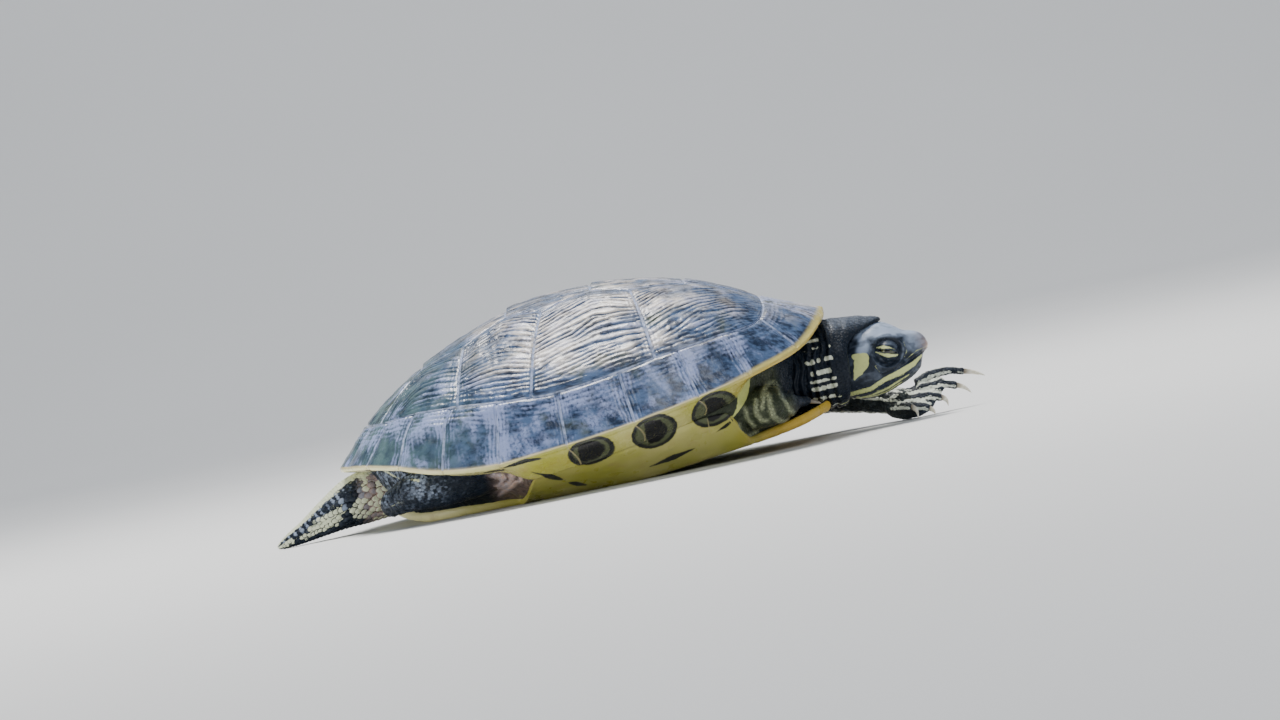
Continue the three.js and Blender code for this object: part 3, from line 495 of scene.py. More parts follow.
def vertebrals():
    """The five scutes along the back."""
    shape = Shape()
    edge = back_edge()
    lefts = [edge[:2], edge[1:4], edge[3:6], edge[5:8], edge[7:]]
    for i, (left, knob) in enumerate(zip(lefts, VERTEBRAL_KNOBS)):
        right = [(x, -y) for x, y in left]
        front = [right[0], left[0]]
        rear = [right[-1], left[-1]]
        if i == 0:
            front = ring_line(-FRONT_CORNER, FRONT_CORNER, 41)
        if i == len(lefts) - 1:
            half = ring_line(REAR_CORNER, 180)
            rear = [*(half * (1, -1)), *half[::-1]]
        plan = patch(right, left, front, rear, *VERTEBRAL_GRID)
        add_scute(shape, plan, vertebral_relief(60 + 5 * i, knob), mirrored=False)
    return shape


def bridge_weight(x):
    """1 along the bridges, 0 at the openings for the limbs."""
    return smooth(x, *BRIDGE_REAR) * (1 - smooth(x, *BRIDGE_FRONT))


def marginal_profile(direction):
    """The marginals' section at each direction: over the top, round the edge, under the lip and inside.

    Returns points (directions, steps, 3) and how far down the profile each step is:
    0 to 1 on the top, 1 to 2 round the edge and 2 to 3 on the underside."""
    d = direction[:, None]
    notch = rim_share(d)
    top = np.linspace(0, 1, OVER_STEPS)[None, :] ** 0.8
    share = lerp(marginal_share(d), 1.0, top)
    x, y = rim_point(d, share * notch)
    z = dome_height(*rim_point(d, np.minimum(share, 0.9999)))
    over = xyz(x, y, z)

    bend = np.linspace(0, 1, EDGE_STEPS)[None, 1:]
    out = 1 + 0.006 * np.sin(np.pi * bend) - 0.004 * bend
    x, y = rim_point(d, out * notch)
    edge = xyz(x, y, rim_height(d) - RIM_EDGE * 0.5 * (1 - np.cos(np.pi * bend)))

    inward = np.linspace(0, 1, UNDER_STEPS)[None, 1:]
    share = lerp(0.996, INNER_SCALE, inward) * notch
    x, y = rim_point(d, share)
    slant = BRIDGE_SLANT + 0.05 * (x - WIDEST_X)
    forward = slant * np.sin(np.pi / 2 * inward ** 0.8) * bridge_weight(x)
    y = np.where(forward > 0, np.sign(y) * outline_half(x + forward, share), y)
    x = x + forward
    height = np.where(forward > 0, rim_height(shell_place(x, y)[1]), rim_height(d))
    fall = lerp(RIM_EDGE, lerp(LIP, LIP_BRIDGE, bridge_weight(x)), inward ** 0.8)
    under = xyz(x, y, height - fall)

    rise = np.linspace(0, 1, INSIDE_STEPS)[None, 1:]
    shrink = INSIDE_SCALE / INNER_SCALE
    inner = (under[:, -1:] - (WIDEST_X, 0, 0)) * (shrink, shrink, 1) + (WIDEST_X, 0, INSIDE_RISE)
    inside = lerp(under[:, -1:], inner, rise[..., None])

    steps = np.concatenate([top, 1 + bend, 2 + inward, 3 + rise], axis=1)
    depth = np.broadcast_to(steps, (len(direction), steps.shape[1]))
    return np.concatenate([over, edge, under, inside], axis=1), depth


def marginals():
    """Twelve scutes along each rim and the narrow nuchal between them, from top to underside."""
    shape = Shape()
    for i, (start, end) in enumerate(zip(MARGINAL_SEAMS, MARGINAL_SEAMS[1:])):
        add_marginal(shape.add_mirrored, np.linspace(start, end, MARGINAL_STEPS), 100 + 3 * i)
    add_marginal(shape.add, np.linspace(-MARGINAL_SEAMS[0], MARGINAL_SEAMS[0], NUCHAL_STEPS), 99)
    return shape


def add_marginal(add, direction, seed):
    """Adds a scute of the rim, with its relief and wear, over a run of directions."""
    points, depth = marginal_profile(direction)
    front, rear, top, _ = edge_runs(points)
    normal = grid_normals(points)
    outward = points - (WIDEST_X, 0, 30)
    normal *= np.where((normal * outward)[:, :OVER_STEPS].sum() < 0, -1, 1)
    side = np.minimum(front, rear)
    over = 1 - smooth(depth, 0.9, 1.4)
    edge = np.where(depth < 2.8, np.minimum(side, top), side)
    lines = growth_lines(worn_run(points, side, seed), 1.4, 5.5) * over
    level = growth_lines(worn_run(points, top, seed + 2), 1.9, 12) * over
    dents = swing(points, 5.2, seed + 4) * over
    rough = swing(points, 1.3, seed)
    height = (0.2 * lines + 0.24 * level + 0.13 * rough) * over + 0.7 * dents
    height += 0.3 * smooth(side, 0, 6) * over + 0.05 * rough * (1 - over)
    height = height * smooth(edge, 0, 1.2)
    groove = scute_edge(side) * lerp(0.45, 1, over) + np.where(top < 1.1, scute_edge(top), 0)
    run = np.radians(direction)[:, None] * HALF_WIDTH
    place = xyz(run + 0.25 * top, 0.12 * top, 0)
    streaky = noise(place, (0.8, 0.8, 1), seed + 6) + noise(place, (2.4, 1.2, 1), seed + 7) - 1
    worn_and_sheen_here = along(WORN_AND_SHEEN_BY_DIRECTION, np.abs(direction))[:, None]
    # pale streaks and growth lines, partly real and partly painted highlight, strongest at the front
    wear = 0.5 * lines + 0.5 * level + over * (worn_and_sheen_here + 0.8 * dents + 0.42 * streaky)
    points = points + normal * (height + groove)[..., None]
    add(points, grid_faces(*points.shape[:2]), seam=edge, wear=wear, under=depth)


def shell_bed():
    """The bone under the scutes, which shows in the seams."""
    shape = Shape()
    direction = np.linspace(-180, 180, 360, endpoint=False)
    share = np.linspace(0.005, 0.985, 90)
    x, y = rim_point(direction[None, :], share[:, None])
    points = xyz(x, y, dome_height(x, y))
    points = points - facing(ring_normals(points), UP) * BED_DEPTH
    shape.add(points, grid_faces(*points.shape[:2], closed=True), seam=0.0, wear=0.0, under=0.0)
    return shape


# ---------- plastron and bridges ----------
def plastron_half(x):
    """Half width of the plastron, out to the rim's underside along the bridges."""
    lobe = along(LOBE_HALF, x)
    bridge = outline_half(x, BRIDGE_SHARE)
    at_bridge = smooth(x, *LOBE_REAR) * (1 - smooth(x, *LOBE_FRONT))
    return lerp(lobe, np.maximum(lobe, bridge), at_bridge)


def belly_height(x, y):
    """Height of the plastron's underside: flat in the middle and rising to the lip over the bridges."""
    flat = np.maximum(along(BELLY_LINE, x), 0)
    half = plastron_half(x)
    beyond = np.maximum(np.abs(y) - BELLY_HALF, 0)
    width = np.maximum(BRIDGE_SHARE * outline_half(x) - BELLY_HALF, 1)
    _, direction = shell_place(x, half / BRIDGE_SHARE)
    top = rim_height(direction) - LIP_BRIDGE + 0.3
    return flat + (top - flat) * np.minimum(beyond / width, 1) ** BRIDGE_CURVE


PLASTRON_GRID = (230, 212)  # points along and across
# Seams across the plastron, as x and y.
PLASTRON_SEAMS = [
    [(63, 0), (60, 14), (70, 30)], [(46, 0), (40, 18), (45, 40)], [(12, 0), (10, 30), (17, 66)],
    [(-32, 0), (-35, 25), (-38, 66)], [(-62, 0), (-57, 20), (-66, 40)],
]


def seam_run(x, y, z):
    """Distance from the nearest seam of the plastron, or of the bridges as they run on from the rim."""
    side = np.abs(y)
    seam = side
    for line in PLASTRON_SEAMS:
        bend = along([(b, a) for a, b in line], side)
        seam = np.minimum(seam, np.abs(x - bend) + 0.3 * smooth(side, BELLY_HALF, BELLY_HALF + 6))
    for place in BRIDGE_SEAMS:
        seam = np.minimum(seam, np.where(z > BRIDGE_SEAM_FOOT, np.abs(x - place - 0.12 * (z - 16)), 9))
    return seam


def edge_spread(count):
    """Steps from -1 to 1 that lie closer together towards both ends."""
    return np.sin(np.linspace(-np.pi / 2, np.pi / 2, count))


def plastron():
    """The plate under the body with the bridges that join it to the carapace."""
    shape = Shape()
    rows, columns = PLASTRON_GRID
    stations = lerp(PLASTRON_REAR, PLASTRON_FRONT, (1 + edge_spread(rows)) / 2)
    x = np.broadcast_to(stations[:, None], PLASTRON_GRID)
    half = plastron_half(x)
    y = edge_spread(columns)[None, :] * half
    z = belly_height(x, y)
    ends = np.minimum(x - PLASTRON_REAR, PLASTRON_FRONT - x)
    edge = np.minimum(half - np.abs(y), ends)
    seam = seam_run(x, y, z)
    groove = 0.3 * bump(seam, 0.5)
    front, rear = smooth(x, 34, 62), 0.8 * smooth(-x, 50, 78)
    swell = 0.25 * swing(xyz(x, y, z), 2.4, 3) * smooth(z, 0.3, 2)
    lobe = smooth(x, 40, 56) + smooth(-x, 44, 60)
    thick = PLASTRON_THICK + LOBE_LIP * (1 - smooth(edge, 0, 7)) * lobe
    bend = 1 - np.sqrt(1 - (1 - np.minimum(edge / (0.5 * thick), 1)) ** 2)
    quiet = smooth(edge, 0, 1.2)
    below = xyz(x, y, np.maximum(z + (groove + swell) * quiet + 0.5 * thick * bend, 0))
    above = xyz(x, y, z + thick * (1 - 0.5 * bend))
    faces = grid_faces(rows, columns)
    rest = dict(wear=0.0, under=4.0, front=front, rear=rear)
    shape.add(below, faces[:, ::-1], seam=seam, **rest)
    shape.add(above, faces, seam=9.0, **rest)
    return shape


# ---------- markings, in the side view: x along the animal and z up ----------
def stroke(x, z, path):
    """Distance inside a brush stroke through (x, z, half width) points; negative outside."""
    best = np.full(np.shape(x), -np.inf)
    for (x0, z0, r0), (x1, z1, r1) in zip(path, path[1:]):
        dx, dz = x1 - x0, z1 - z0
        t = np.clip(((x - x0) * dx + (z - z0) * dz) / (dx * dx + dz * dz), 0, 1)
        gap = np.hypot(x - x0 - t * dx, z - z0 - t * dz)
        best = np.maximum(best, lerp(r0, r1, t) - gap)
    return best


def strokes(x, z, paths):
    return np.max([stroke(x, z, path) for path in paths], axis=0)


def oval(x, z, centre, size, tilt=0.0):
    """Distance inside an oval of the given full width and height, tilted by degrees."""
    a = math.radians(tilt)
    dx, dz = x - centre[0], z - centre[1]
    u, v = dx * math.cos(a) + dz * math.sin(a), dz * math.cos(a) - dx * math.sin(a)
    reach = np.sqrt((2 * u / size[0]) ** 2 + (2 * v / size[1]) ** 2)
    return (1 - reach) * min(size) / 2


# Centre, full size and tilt of each blotch in the side view, and the seam under the rim that cuts it.
BRIDGE_BLOTCHES = [
    ((-14.6, 15.1), (18.6, 10.4), 3, -19.4),
    ((9.3, 17.3), (18, 12.4), 10, 5.9),
    ((32.2, 20.8), (18.4, 12.6), 18, 29.2),
]
BRIDGE_SEAMS = [seam for _, _, _, seam in BRIDGE_BLOTCHES]
BLOTCH_MIDDLE = 0.68  # size of the black middle, which ends at the seam
BRIDGE_SEAM_FOOT = 12  # the seams under the rim end at this height
BRIDGE_INSIDE = 36  # marks of the bridges end this near to the shell's middle line
BRIDGE_STREAKS = [
    [(-46.9, 15.4, 0.3), (-39, 16.4, 1.3), (-31.8, 15.9, 0.3)],
    [(-37.7, 12, 0.3), (-31, 8.6, 1.2), (-25.3, 5.6, 0.4)],
    [(-26.8, 5.6, 0.3), (-22.6, 3.8, 1.1), (-18.8, 2.4, 0.3)],
    [(4.2, 4.4, 0.3), (14, 6, 1.2), (22.9, 8, 0.3)],
    [(30.8, 12, 0.3), (35, 13.6, 0.9), (40.1, 16.1, 0.3)],
]
GULAR_SPOTS = [((66, 9), (9, 7)), ((54, 18), (6, 5))]  # centre and full size, seen from below
GULAR_TOP = 16  # they lie below this height
LIP_SPOT = (9, 4.4)  # full size of the spots on the lip, one behind each seam at the openings
LIP_RUN = 84  # distance of the lip from the shell's middle, for sizes along it
LIP_REACH = 78  # distance that the whole way out to the rim stands for, for sizes across it
LIP_MIDDLE = 0.955  # share of the way out to the rim where the spots lie
LIP_START = 0.85  # share of the way out beyond which marks are the lip's


def shell_blotches(points, on_rim=False):
    """Distances inside the dark blotches of bridge, lip and plastron, and inside their black middles."""
    x, y, z = np.moveaxis(points, -1, 0)
    wobble = 0.5 * swing(points, 4.5, 31)
    best, core = np.full((2, *x.shape), OUTSIDE)
    beside = np.where(np.abs(y) > BRIDGE_INSIDE, 0, OUTSIDE)
    for centre, size, tilt, seam in BRIDGE_BLOTCHES:
        best = np.maximum(best, oval(x, z, centre, size, tilt) + beside)
        inner = oval(x, z, (centre[0] - 1.2, centre[1]), np.multiply(size, BLOTCH_MIDDLE), tilt)
        core = np.maximum(core, np.minimum(inner, x - seam) + beside)
    best = np.maximum(best, strokes(x, z, BRIDGE_STREAKS) + beside)
    below = np.where(z < GULAR_TOP, 0, OUTSIDE)
    for centre, size in GULAR_SPOTS:
        best = np.maximum(best, oval(x, np.abs(y), centre, size) + below)
    if on_rim:
        share, place = shell_place(x, y)
        for seam in MARGINAL_SEAMS[:3] + MARGINAL_SEAMS[7:]:
            run = np.radians(place - seam - 2.5) * LIP_RUN
            spot = oval(run, (share - LIP_MIDDLE) * LIP_REACH, (0, 0), LIP_SPOT)
            best = np.maximum(best, spot)
            core = np.maximum(core, spot - 1)
    return best + wobble, core + wobble


# ---------- materials ----------
class Material:
    """A procedural material that is put together from a few kinds of node."""

    def __init__(self, name, roughness, coat=0.0, specular=0.5):
        self.made = bpy.data.materials.new(name)
        self.made.use_nodes = True
        self.tree = self.made.node_tree
        self.shader = self.tree.nodes["Principled BSDF"]
        self.put(self.shader, {"Roughness": roughness, "Coat Weight": coat, "Coat Roughness": 0.22,
                               "Specular IOR Level": specular})

    def put(self, node, inputs):
        """Sets inputs of a node to values, or links them to other nodes' outputs."""
        for key, value in inputs.items():
            socket = node.inputs[key]
            if isinstance(value, bpy.types.NodeSocket):
                self.tree.links.new(value, socket)
            else:
                socket.default_value = (*value, 1) if socket.type == "RGBA" else value

    def node(self, kind, inputs, **settings):
        """The outputs of a new node of a kind."""
        node = self.tree.nodes.new(f"ShaderNode{kind}")
        for key, value in settings.items():
            setattr(node, key, value)
        self.put(node, inputs)
        return node.outputs

    def value(self, name):
        return self.node("Attribute", {}, attribute_name=name)["Fac"]

    def place(self):
        return self.node("TexCoord", {})["Object"]

    def noise(self, size_mm, detail, stretch=(1, 1, 1), seed=0.0):
        """Noise with features of a size in millimetres, on the object's own coordinates."""
        shift = {"Vector": self.place(), "Location": (seed, seed * 0.7, seed * 0.3), "Scale": stretch}
        place = self.node("Mapping", shift)[0]
        inputs = {"Vector": place, "Scale": 1 / (size_mm * MM), "Detail": detail}
        return self.node("TexNoise", inputs)["Fac"]

    def cells(self, size_mm):
        """Distance from the borders of cells of a size in millimetres."""
        inputs = {"Vector": self.place(), "Scale": 1 / (size_mm * MM)}
        return self.node("TexVoronoi", inputs, feature="DISTANCE_TO_EDGE")["Distance"]

    def span(self, value, low, high, to_low=0.0, to_high=1.0):
        """Turns values from low to high into to_low to to_high, with an ease at both ends."""
        keys = ("Value", "From Min", "From Max", "To Min", "To Max")
        inputs = dict(zip(keys, (value, low, high, to_low, to_high)))
        return self.node("MapRange", inputs, interpolation_type="SMOOTHSTEP")["Result"]

    def math(self, operation, a, b):
        return self.node("Math", {0: a, 1: b}, operation=operation)[0]

    def plus(self, a, b):
        return self.math("ADD", a, b)

    def times(self, a, b):
        return self.math("MULTIPLY", a, b)

    def swing(self, amount, size_mm, detail):
        """Noise about zero, over a range of an amount."""
        return self.times(self.math("SUBTRACT", self.noise(size_mm, detail), 0.5), amount)

    def mix(self, share, a, b):
        return self.node("Mix", {"Factor": share, "A": a, "B": b}, data_type="RGBA")["Result"]

    def bump(self, height, depth_mm):
        return self.node("Bump", {"Distance": depth_mm * MM, "Height": height})["Normal"]

    def finish(self, colour, **others):
        """The material, with its colour and other inputs of its shader."""
        self.put(self.shader, {"Base Color": colour, **others})
        return self.made


HORN_DARK = (0.012, 0.024, 0.055)
HORN_BLUE = (0.072, 0.122, 0.235)
HORN_GREEN = (0.085, 0.150, 0.160)
# pale horn of the ridges, partly real and partly painted highlight
HORN_WORN_AND_SHEEN = (0.30, 0.365, 0.62)
# colour of the painted highlight on the upper flanks
HORN_HIGHLIGHT = (0.80, 0.72, 0.62)
HORN_OLIVE = (0.085, 0.100, 0.050)
SEAM_PALE = (0.44, 0.51, 0.70)
RIM_YELLOW = (0.66, 0.58, 0.33)
RIM_GOLD = (0.50, 0.41, 0.06)
BELLY_YELLOW = (0.335, 0.325, 0.045)
BELLY_PALE = (0.46, 0.43, 0.15)
BELLY_ORANGE = (0.56, 0.33, 0.02)
# cream of the rear lobe: partly its own pale yellow, partly painted light on its lit edge
BELLY_CREAM_AND_LIGHT = (0.92, 0.88, 0.50)
BELLY_STAIN = (0.34, 0.22, 0.09)
BLOTCH_DARK = (0.002, 0.002, 0.003)
BLOTCH_OUTLINE = (0.012, 0.014, 0.012)
BLOTCH_OLIVE = (0.068, 0.078, 0.038)
BELLY_SEAM = (0.40, 0.34, 0.17)
# How strongly the painted highlight of the upper flanks shows on the horn, by x.
HIGHLIGHT_BY_X = [(-60, 0.15), (-42, 0.8), (-20, 1), (12, 0.95), (34, 0.6), (60, 0.3), (80, 0.9)]


def belly_colour(m):
    """Yellow of the underside, with its blotches: a dark outline, an olive ring and a black middle."""
    ragged = m.swing(0.5, 1.6, 2)
    blotch = m.plus(m.value("blotch"), ragged)
    core = m.plus(m.value("core"), m.times(ragged, 2.0))
    base = m.mix(m.span(m.noise(22, 2), 0.35, 0.7), BELLY_YELLOW, BELLY_PALE)
    base = m.mix(m.times(m.value("front"), 0.75), base, BELLY_ORANGE)
    # rear lobe paler: partly its own colour, partly painted light
    base = m.mix(m.value("rear"), base, BELLY_CREAM_AND_LIGHT)
    base = m.mix(m.span(m.noise(5, 4, seed=3), 0.52, 0.8, 0, 0.4), base, BELLY_STAIN)
    dark = m.mix(m.span(blotch, 1.0, 1.6), BLOTCH_OUTLINE, BLOTCH_OLIVE)
    dark = m.mix(m.span(core, -0.3, 0.4), dark, BLOTCH_DARK)
    coloured = m.mix(m.span(blotch, 0.0, 0.45), base, dark)
    seam = m.span(m.value("seam"), 0.15, 0.45, 0.55, 0)
    return m.mix(seam, coloured, BELLY_SEAM)


def horn_material():
    """Carapace scutes: blue-slate horn, paler on its ridges, partly from use and partly as painted highlight,
    with a warm painted highlight on the upper flanks and the yellow underside.
    """
    m = Material("horn", 0.3, coat=0.4, specular=0.35)
    streaks = (0.6, 1, 1)
    fine = m.noise(1.5, 4, (0.35, 1, 1), seed=11)
    mottled = m.plus(m.times(m.noise(5, 3, streaks), 0.5), m.times(fine, 0.5))
    blue = m.mix(m.span(mottled, 0.4, 0.6), HORN_DARK, HORN_BLUE)
    green = m.mix(m.span(m.noise(7, 5), 0.34, 0.66, 0.2, 1), HORN_DARK, HORN_GREEN)
    slate = m.mix(m.value("rear"), blue, green)
    slate = m.mix(m.span(m.noise(13, 3, seed=5), 0.58, 0.74, 0, 0.55), slate, HORN_OLIVE)
    cloud = m.span(m.noise(8, 4, streaks, seed=9), 0.34, 0.62, 0.3, 1)
    cloud = m.math("MAXIMUM", cloud, m.span(m.value("under"), 0, 0.05, 0, 0.62))
    # paler ridge crests: partly real, partly painted highlight
    wear = m.times(m.value("wear"), cloud)
    wear = m.times(wear, m.span(m.noise(1.1, 3, seed=7), 0.25, 0.6, 0.6, 1))
    worn_and_sheen = m.mix(m.span(wear, 0.3, 0.92, 0, 0.88), slate, HORN_WORN_AND_SHEEN)
    # painted highlight: warm pale crests of the ridges on the upper flanks
    sunned = m.times(m.span(m.value("sunned"), 0, 1), m.span(m.value("wear"), 0.3, 0.72))
    sunned = m.times(sunned, m.span(m.noise(11, 4, streaks, seed=3), 0.36, 0.6, 0.15, 1))
    sunned = m.times(sunned, m.span(fine, 0.35, 0.6, 0.3, 0.8))
    worn_and_sheen = m.mix(sunned, worn_and_sheen, HORN_HIGHLIGHT)
    broken = m.span(m.noise(2.6, 3, seed=1), 0.35, 0.6, 0.25, 0.95)
    seam = m.times(m.span(m.value("seam"), 0.25, 0.7, 1, 0), broken)
    top = m.mix(seam, worn_and_sheen, SEAM_PALE)
    under = m.span(m.value("under"), 1.15, 1.5)
    rim = m.span(m.plus(m.value("under"), m.times(m.value("front"), 0.1)), 0.96, 1.05)
    rim_colour = m.mix(m.value("front"), RIM_YELLOW, RIM_GOLD)
    colour = m.mix(under, m.mix(rim, top, rim_colour), belly_colour(m))
    grain = m.plus(m.noise(0.7, 4), m.times(m.noise(2.4, 3), 1.6))
    roughness = m.span(m.noise(3.5, 4, seed=2), 0.3, 0.7, 0.16, 0.4)
    return m.finish(colour, Roughness=roughness, Normal=m.bump(grain, 0.11))


def belly_material():
    m = Material("belly_horn", 0.34, coat=0.06, specular=0.2)
    grain = m.plus(m.noise(1.2, 4), m.noise(6, 2))
    roughness = m.span(m.noise(5, 3), 0.3, 0.7, 0.25, 0.48)
    return m.finish(belly_colour(m), Roughness=roughness, Normal=m.bump(grain, 0.06))


def sunned(x, z):
    """How strongly the painted highlight lies on the upper flanks, from 0 to 1."""
    return along(HIGHLIGHT_BY_X, x) * smooth(z, 38, 54) * (1 - 0.15 * smooth(z, 64, 73))


def make_shell():
    horn = horn_material()
    for name, shape, nodes in (
        ("shell_bed", shell_bed(), []), ("costal_scutes", costals(), []),
        ("vertebral_scutes", vertebrals(), []), ("marginal_scutes", marginals(), ["carapace"]),
    ):
        points = np.concatenate(shape.points)
        x, y, z = points.T
        shape.values.setdefault("under", [0 * x])
        on_lip = shell_place(x, y)[0] > LIP_START
        blotch, core = (np.where(on_lip, inside, OUTSIDE) for inside in shell_blotches(points, on_rim=True))
        shape.values.update(
            blotch=[blotch], core=[core], rear=[smooth(-x, 35, 95)], sunned=[sunned(x, z)],
            front=[0.7 * smooth(x, 34, 54)])
        build_mesh(name, shape, horn, nodes)
    shape = plastron()
    blotch, core = shell_blotches(np.concatenate(shape.points))
    shape.values.update(blotch=[blotch], core=[core])
    build_mesh("plastron_plates", shape, belly_material(), ["plastron"])


# ---------- limbs: paths and digits, as the solids have them ----------
# A limb: stations of leg and palm as x, y, z, half width and half height, which way the foot's upper
# side faces, half width and height of a digit, width of a claw, and each digit's line and claw tip.
FORELEG_LEFT = {
    "path": [(46, 40, 19, 9, 9), (66, 38, 17.5, 9, 8.4), (86, 28, 12.5, 7, 6.4), (104, 17, 7.4, 5.6, 5.2)],
    "palm": [(100, 18.6, 7.8, 5.4, 5), (105, 15.8, 6.2, 7.4, 4), (109.5, 15, 6.6, 7.6, 2.8),
             (115, 17.2, 9.4, 5.8, 1.6), (121, 18.6, 11.6, 3.4, 1)],
    "lean": (0, -0.72, 0.69), "wide": 2.2, "tall": 1.8, "claw": 1.1,
    "digits": [
        ([(111, 19, 13), (117, 21, 15), (124, 22.2, 15.2), (130, 22.5, 13.8)], (138, 22.5, 10.5)),
        ([(111.5, 17, 10.6), (120, 18.5, 10.8), (126, 19, 9.2)], (131.1, 18.5, 5.2)),
        ([(109.5, 14, 7.4), (115, 14.6, 7.2), (119.4, 14.2, 5.8)], (121, 13.2, 2.2)),
        ([(108, 11.4, 4.6), (111.4, 10.8, 3.8), (113.6, 10.4, 2.9)], (115.2, 9, 0.2)),
        ([(103.6, 11.4, 5.4), (105.6, 8.8, 5.2), (107.2, 7.4, 4.6)], (108.4, 5.8, 0.2)),
    ],
}


def digit_row(first, step, count, run, claw):
    """Digits side by side, all of them straight."""
    digits = []
    for i in range(count):
        line = [tuple(np.add(first, np.multiply(step, i)) + np.multiply(run, part)) for part in (0, 0.5, 1)]
        digits.append((line, tuple(np.add(line[-1], claw))))
    return digits


FORELEG_RIGHT = {
    "path": [(42, -36, 18, 9, 8.6), (51, -41, 17.4, 8.5, 8), (57, -35, 16.6, 6.4, 6),
             (60, -28.5, 16.2, 5, 4.2)],
    "palm": [(58, -31, 16.4, 4.8, 3.8), (62, -26.4, 16.4, 5.6, 2.6), (66, -23.6, 16, 5, 2)],
    "lean": UP, "wide": 1.1, "tall": 1.2, "claw": 0.8,
    "digits": digit_row((64.6, -27.4, 16), (0.1, 2.1, 0), 5, (4, 0.1, -0.6), (3.4, 0.2, -1.4)),
}


def hind_leg(side):
    def turned(stations):
        return [(x, side * y, *rest) for x, y, *rest in stations]
    return {
        "path": turned([(-44, 40, 15, 7.5, 8), (-56, 47, 14.5, 6.5, 8.4), (-70, 49.5, 13.4, 6, 8.4),
                        (-82, 46, 12.6, 5.2, 7.2)]),
        "palm": turned([(-79, 47, 12.6, 5, 7.2), (-87, 42, 11, 4.2, 6), (-92, 37, 9.4, 3, 4.8)]),
        "lean": UP, "wide": 1.1, "tall": 1.3, "claw": 0.8,
        "digits": digit_row((-91, side * 38, 5.8), (0, 0, 2.4), 4, (-1, -5.6 * side, 0),
                            (0.3, -3.6 * side, -1.7)),
    }


LIMBS = {
    "forefoot_left": FORELEG_LEFT, "forefoot_right": FORELEG_RIGHT,
    "hindfoot_left": hind_leg(1), "hindfoot_right": hind_leg(-1),
}
TAIL_PATH = [
    (-84, 0, 14.5, 9.5, 9.5), (-97, -1, 14, 10, 10.2), (-107, -2.5, 12.4, 8.8, 9.6),
    (-116, -4.5, 9.4, 6.2, 7.2), (-126, -6.5, 5.4, 3.6, 4.5), (-133, -8, 3, 2.2, 2.8),
    (-137.4, -9, 1.3, 0.9, 1.4),
]
FLESH_SHARE = 0.955  # limbs are drawn this much slimmer than the solids, to leave room for scales
# Rings that round off a limb's end: distance beyond it and size, as shares of the size there.
BLUNT_END = [(0.45, 0.88), (0.75, 0.6), (0.9, 0.25)]


def drawn_out(stations, steps):
    """A table of stations with more rows, each of its columns following a smooth curve."""
    at = np.linspace(0, len(stations) - 1, steps)
    return np.stack([along(list(enumerate(column)), at) for column in zip(*stations)], axis=1)


def frames_along(stations, steps, lean):
    """Points, directions, sideways and upward unit vectors, and sizes, at even steps of a path."""
    table = drawn_out(stations, steps)
    points = table[:, :3]
    forward = unit(np.gradient(points, axis=0))
    sideways = unit(np.cross(forward, lean))
    return points, forward, sideways, np.cross(sideways, forward), table[:, 3:]


def closed_tube(rings):
    """Points and quads of a stack of rings (m, n, 3), shut at both ends."""
    ends = [rings[:1].mean(axis=1, keepdims=True), rings[-1:].mean(axis=1, keepdims=True)]
    full = [np.broadcast_to(e, (1, rings.shape[1], 3)) for e in ends]
    rings = np.concatenate([full[0], rings, full[1]])
    return rings.reshape(-1, 3), grid_faces(rings.shape[0], rings.shape[1], closed=True)


def rings_round(centre, sideways, upwards, size, count):
    """Oval rings of points about the points of a path."""
    angle = full_turn(count)[None, :, None]
    across = sideways[:, None] * size[:, 0, None, None] * np.cos(angle)
    up = upwards[:, None] * size[:, 1, None, None] * np.sin(angle)
    return centre[:, None] + across + up


def tube(stations, lean=UP, steps=30, count=28, blunt=True):
    """Points and quads of a closed loft through stations, with a rounded end if it is blunt."""
    points, forward, sideways, upwards, size = frames_along(stations, steps, lean)
    if blunt:
        beyond, narrow = np.array(BLUNT_END).T[..., None]
        points = np.concatenate([points, points[-1] + forward[-1] * size[-1, 1] * beyond])
        size = np.concatenate([size, size[-1] * narrow])
        sideways, upwards = (
            np.concatenate([way, np.repeat(way[-1:], len(BLUNT_END), axis=0)]) for way in (sideways, upwards))
    return closed_tube(rings_round(points, sideways, upwards, size * FLESH_SHARE, count))


def limb_lofts(limb):
    """The lofts of a leg, its palm and its digits, which overlap."""
    lofts = [tube(limb["path"]), tube(limb["palm"], limb["lean"])]
    for points, _ in limb["digits"]:
        taper = np.linspace(1, 0.7, len(points))
        knuckle = [(*p, limb["wide"] * s, limb["tall"] * s) for p, s in zip(points, taper)]
        lofts.append(tube(knuckle, limb["lean"], steps=14, count=16, blunt=False))
    return lofts


# Rings of neck and hood: x at the side, reach of the top edge, half width, top and base. The last
# five turn inward round the hood's edge and run back between hood and head.
NECK_RINGS = [
    (57, 0, 19.5, 43, 11), (66, 0, 18.4, 42.8, 10.9), (70, 0, 16.8, 42.2, 11.3), (73.5, 0, 17.8, 43, 10.7),
    (76.5, 0, 16.6, 42.6, 11.3), (79, 0.4, 17.3, 43.8, 10.5), (82.4, 3, 17.2, 43.9, 10.4),
    (84.4, 8.8, 16.7, 43, 10.9), (85.3, 13.2, 16, 41.7, 11.5), (85.7, 15.4, 15.4, 40.5, 12.1),
    (85.4, 14.8, 14.8, 39.7, 12.6), (83.4, 10.4, 14.3, 39.2, 13), (80, 5, 14, 38.2, 13.2),
    (76, 0, 13.5, 37, 14),
]


HOOD_LEAN = 3.4  # how late on the way up the hood's rings lean forward
HOOD_TUCK = 0.15  # share of that lean by which they lean back below
NECK_SQUARE = (0.9, 0.92)  # powers of the neck's section across and up, of which 1 makes an oval


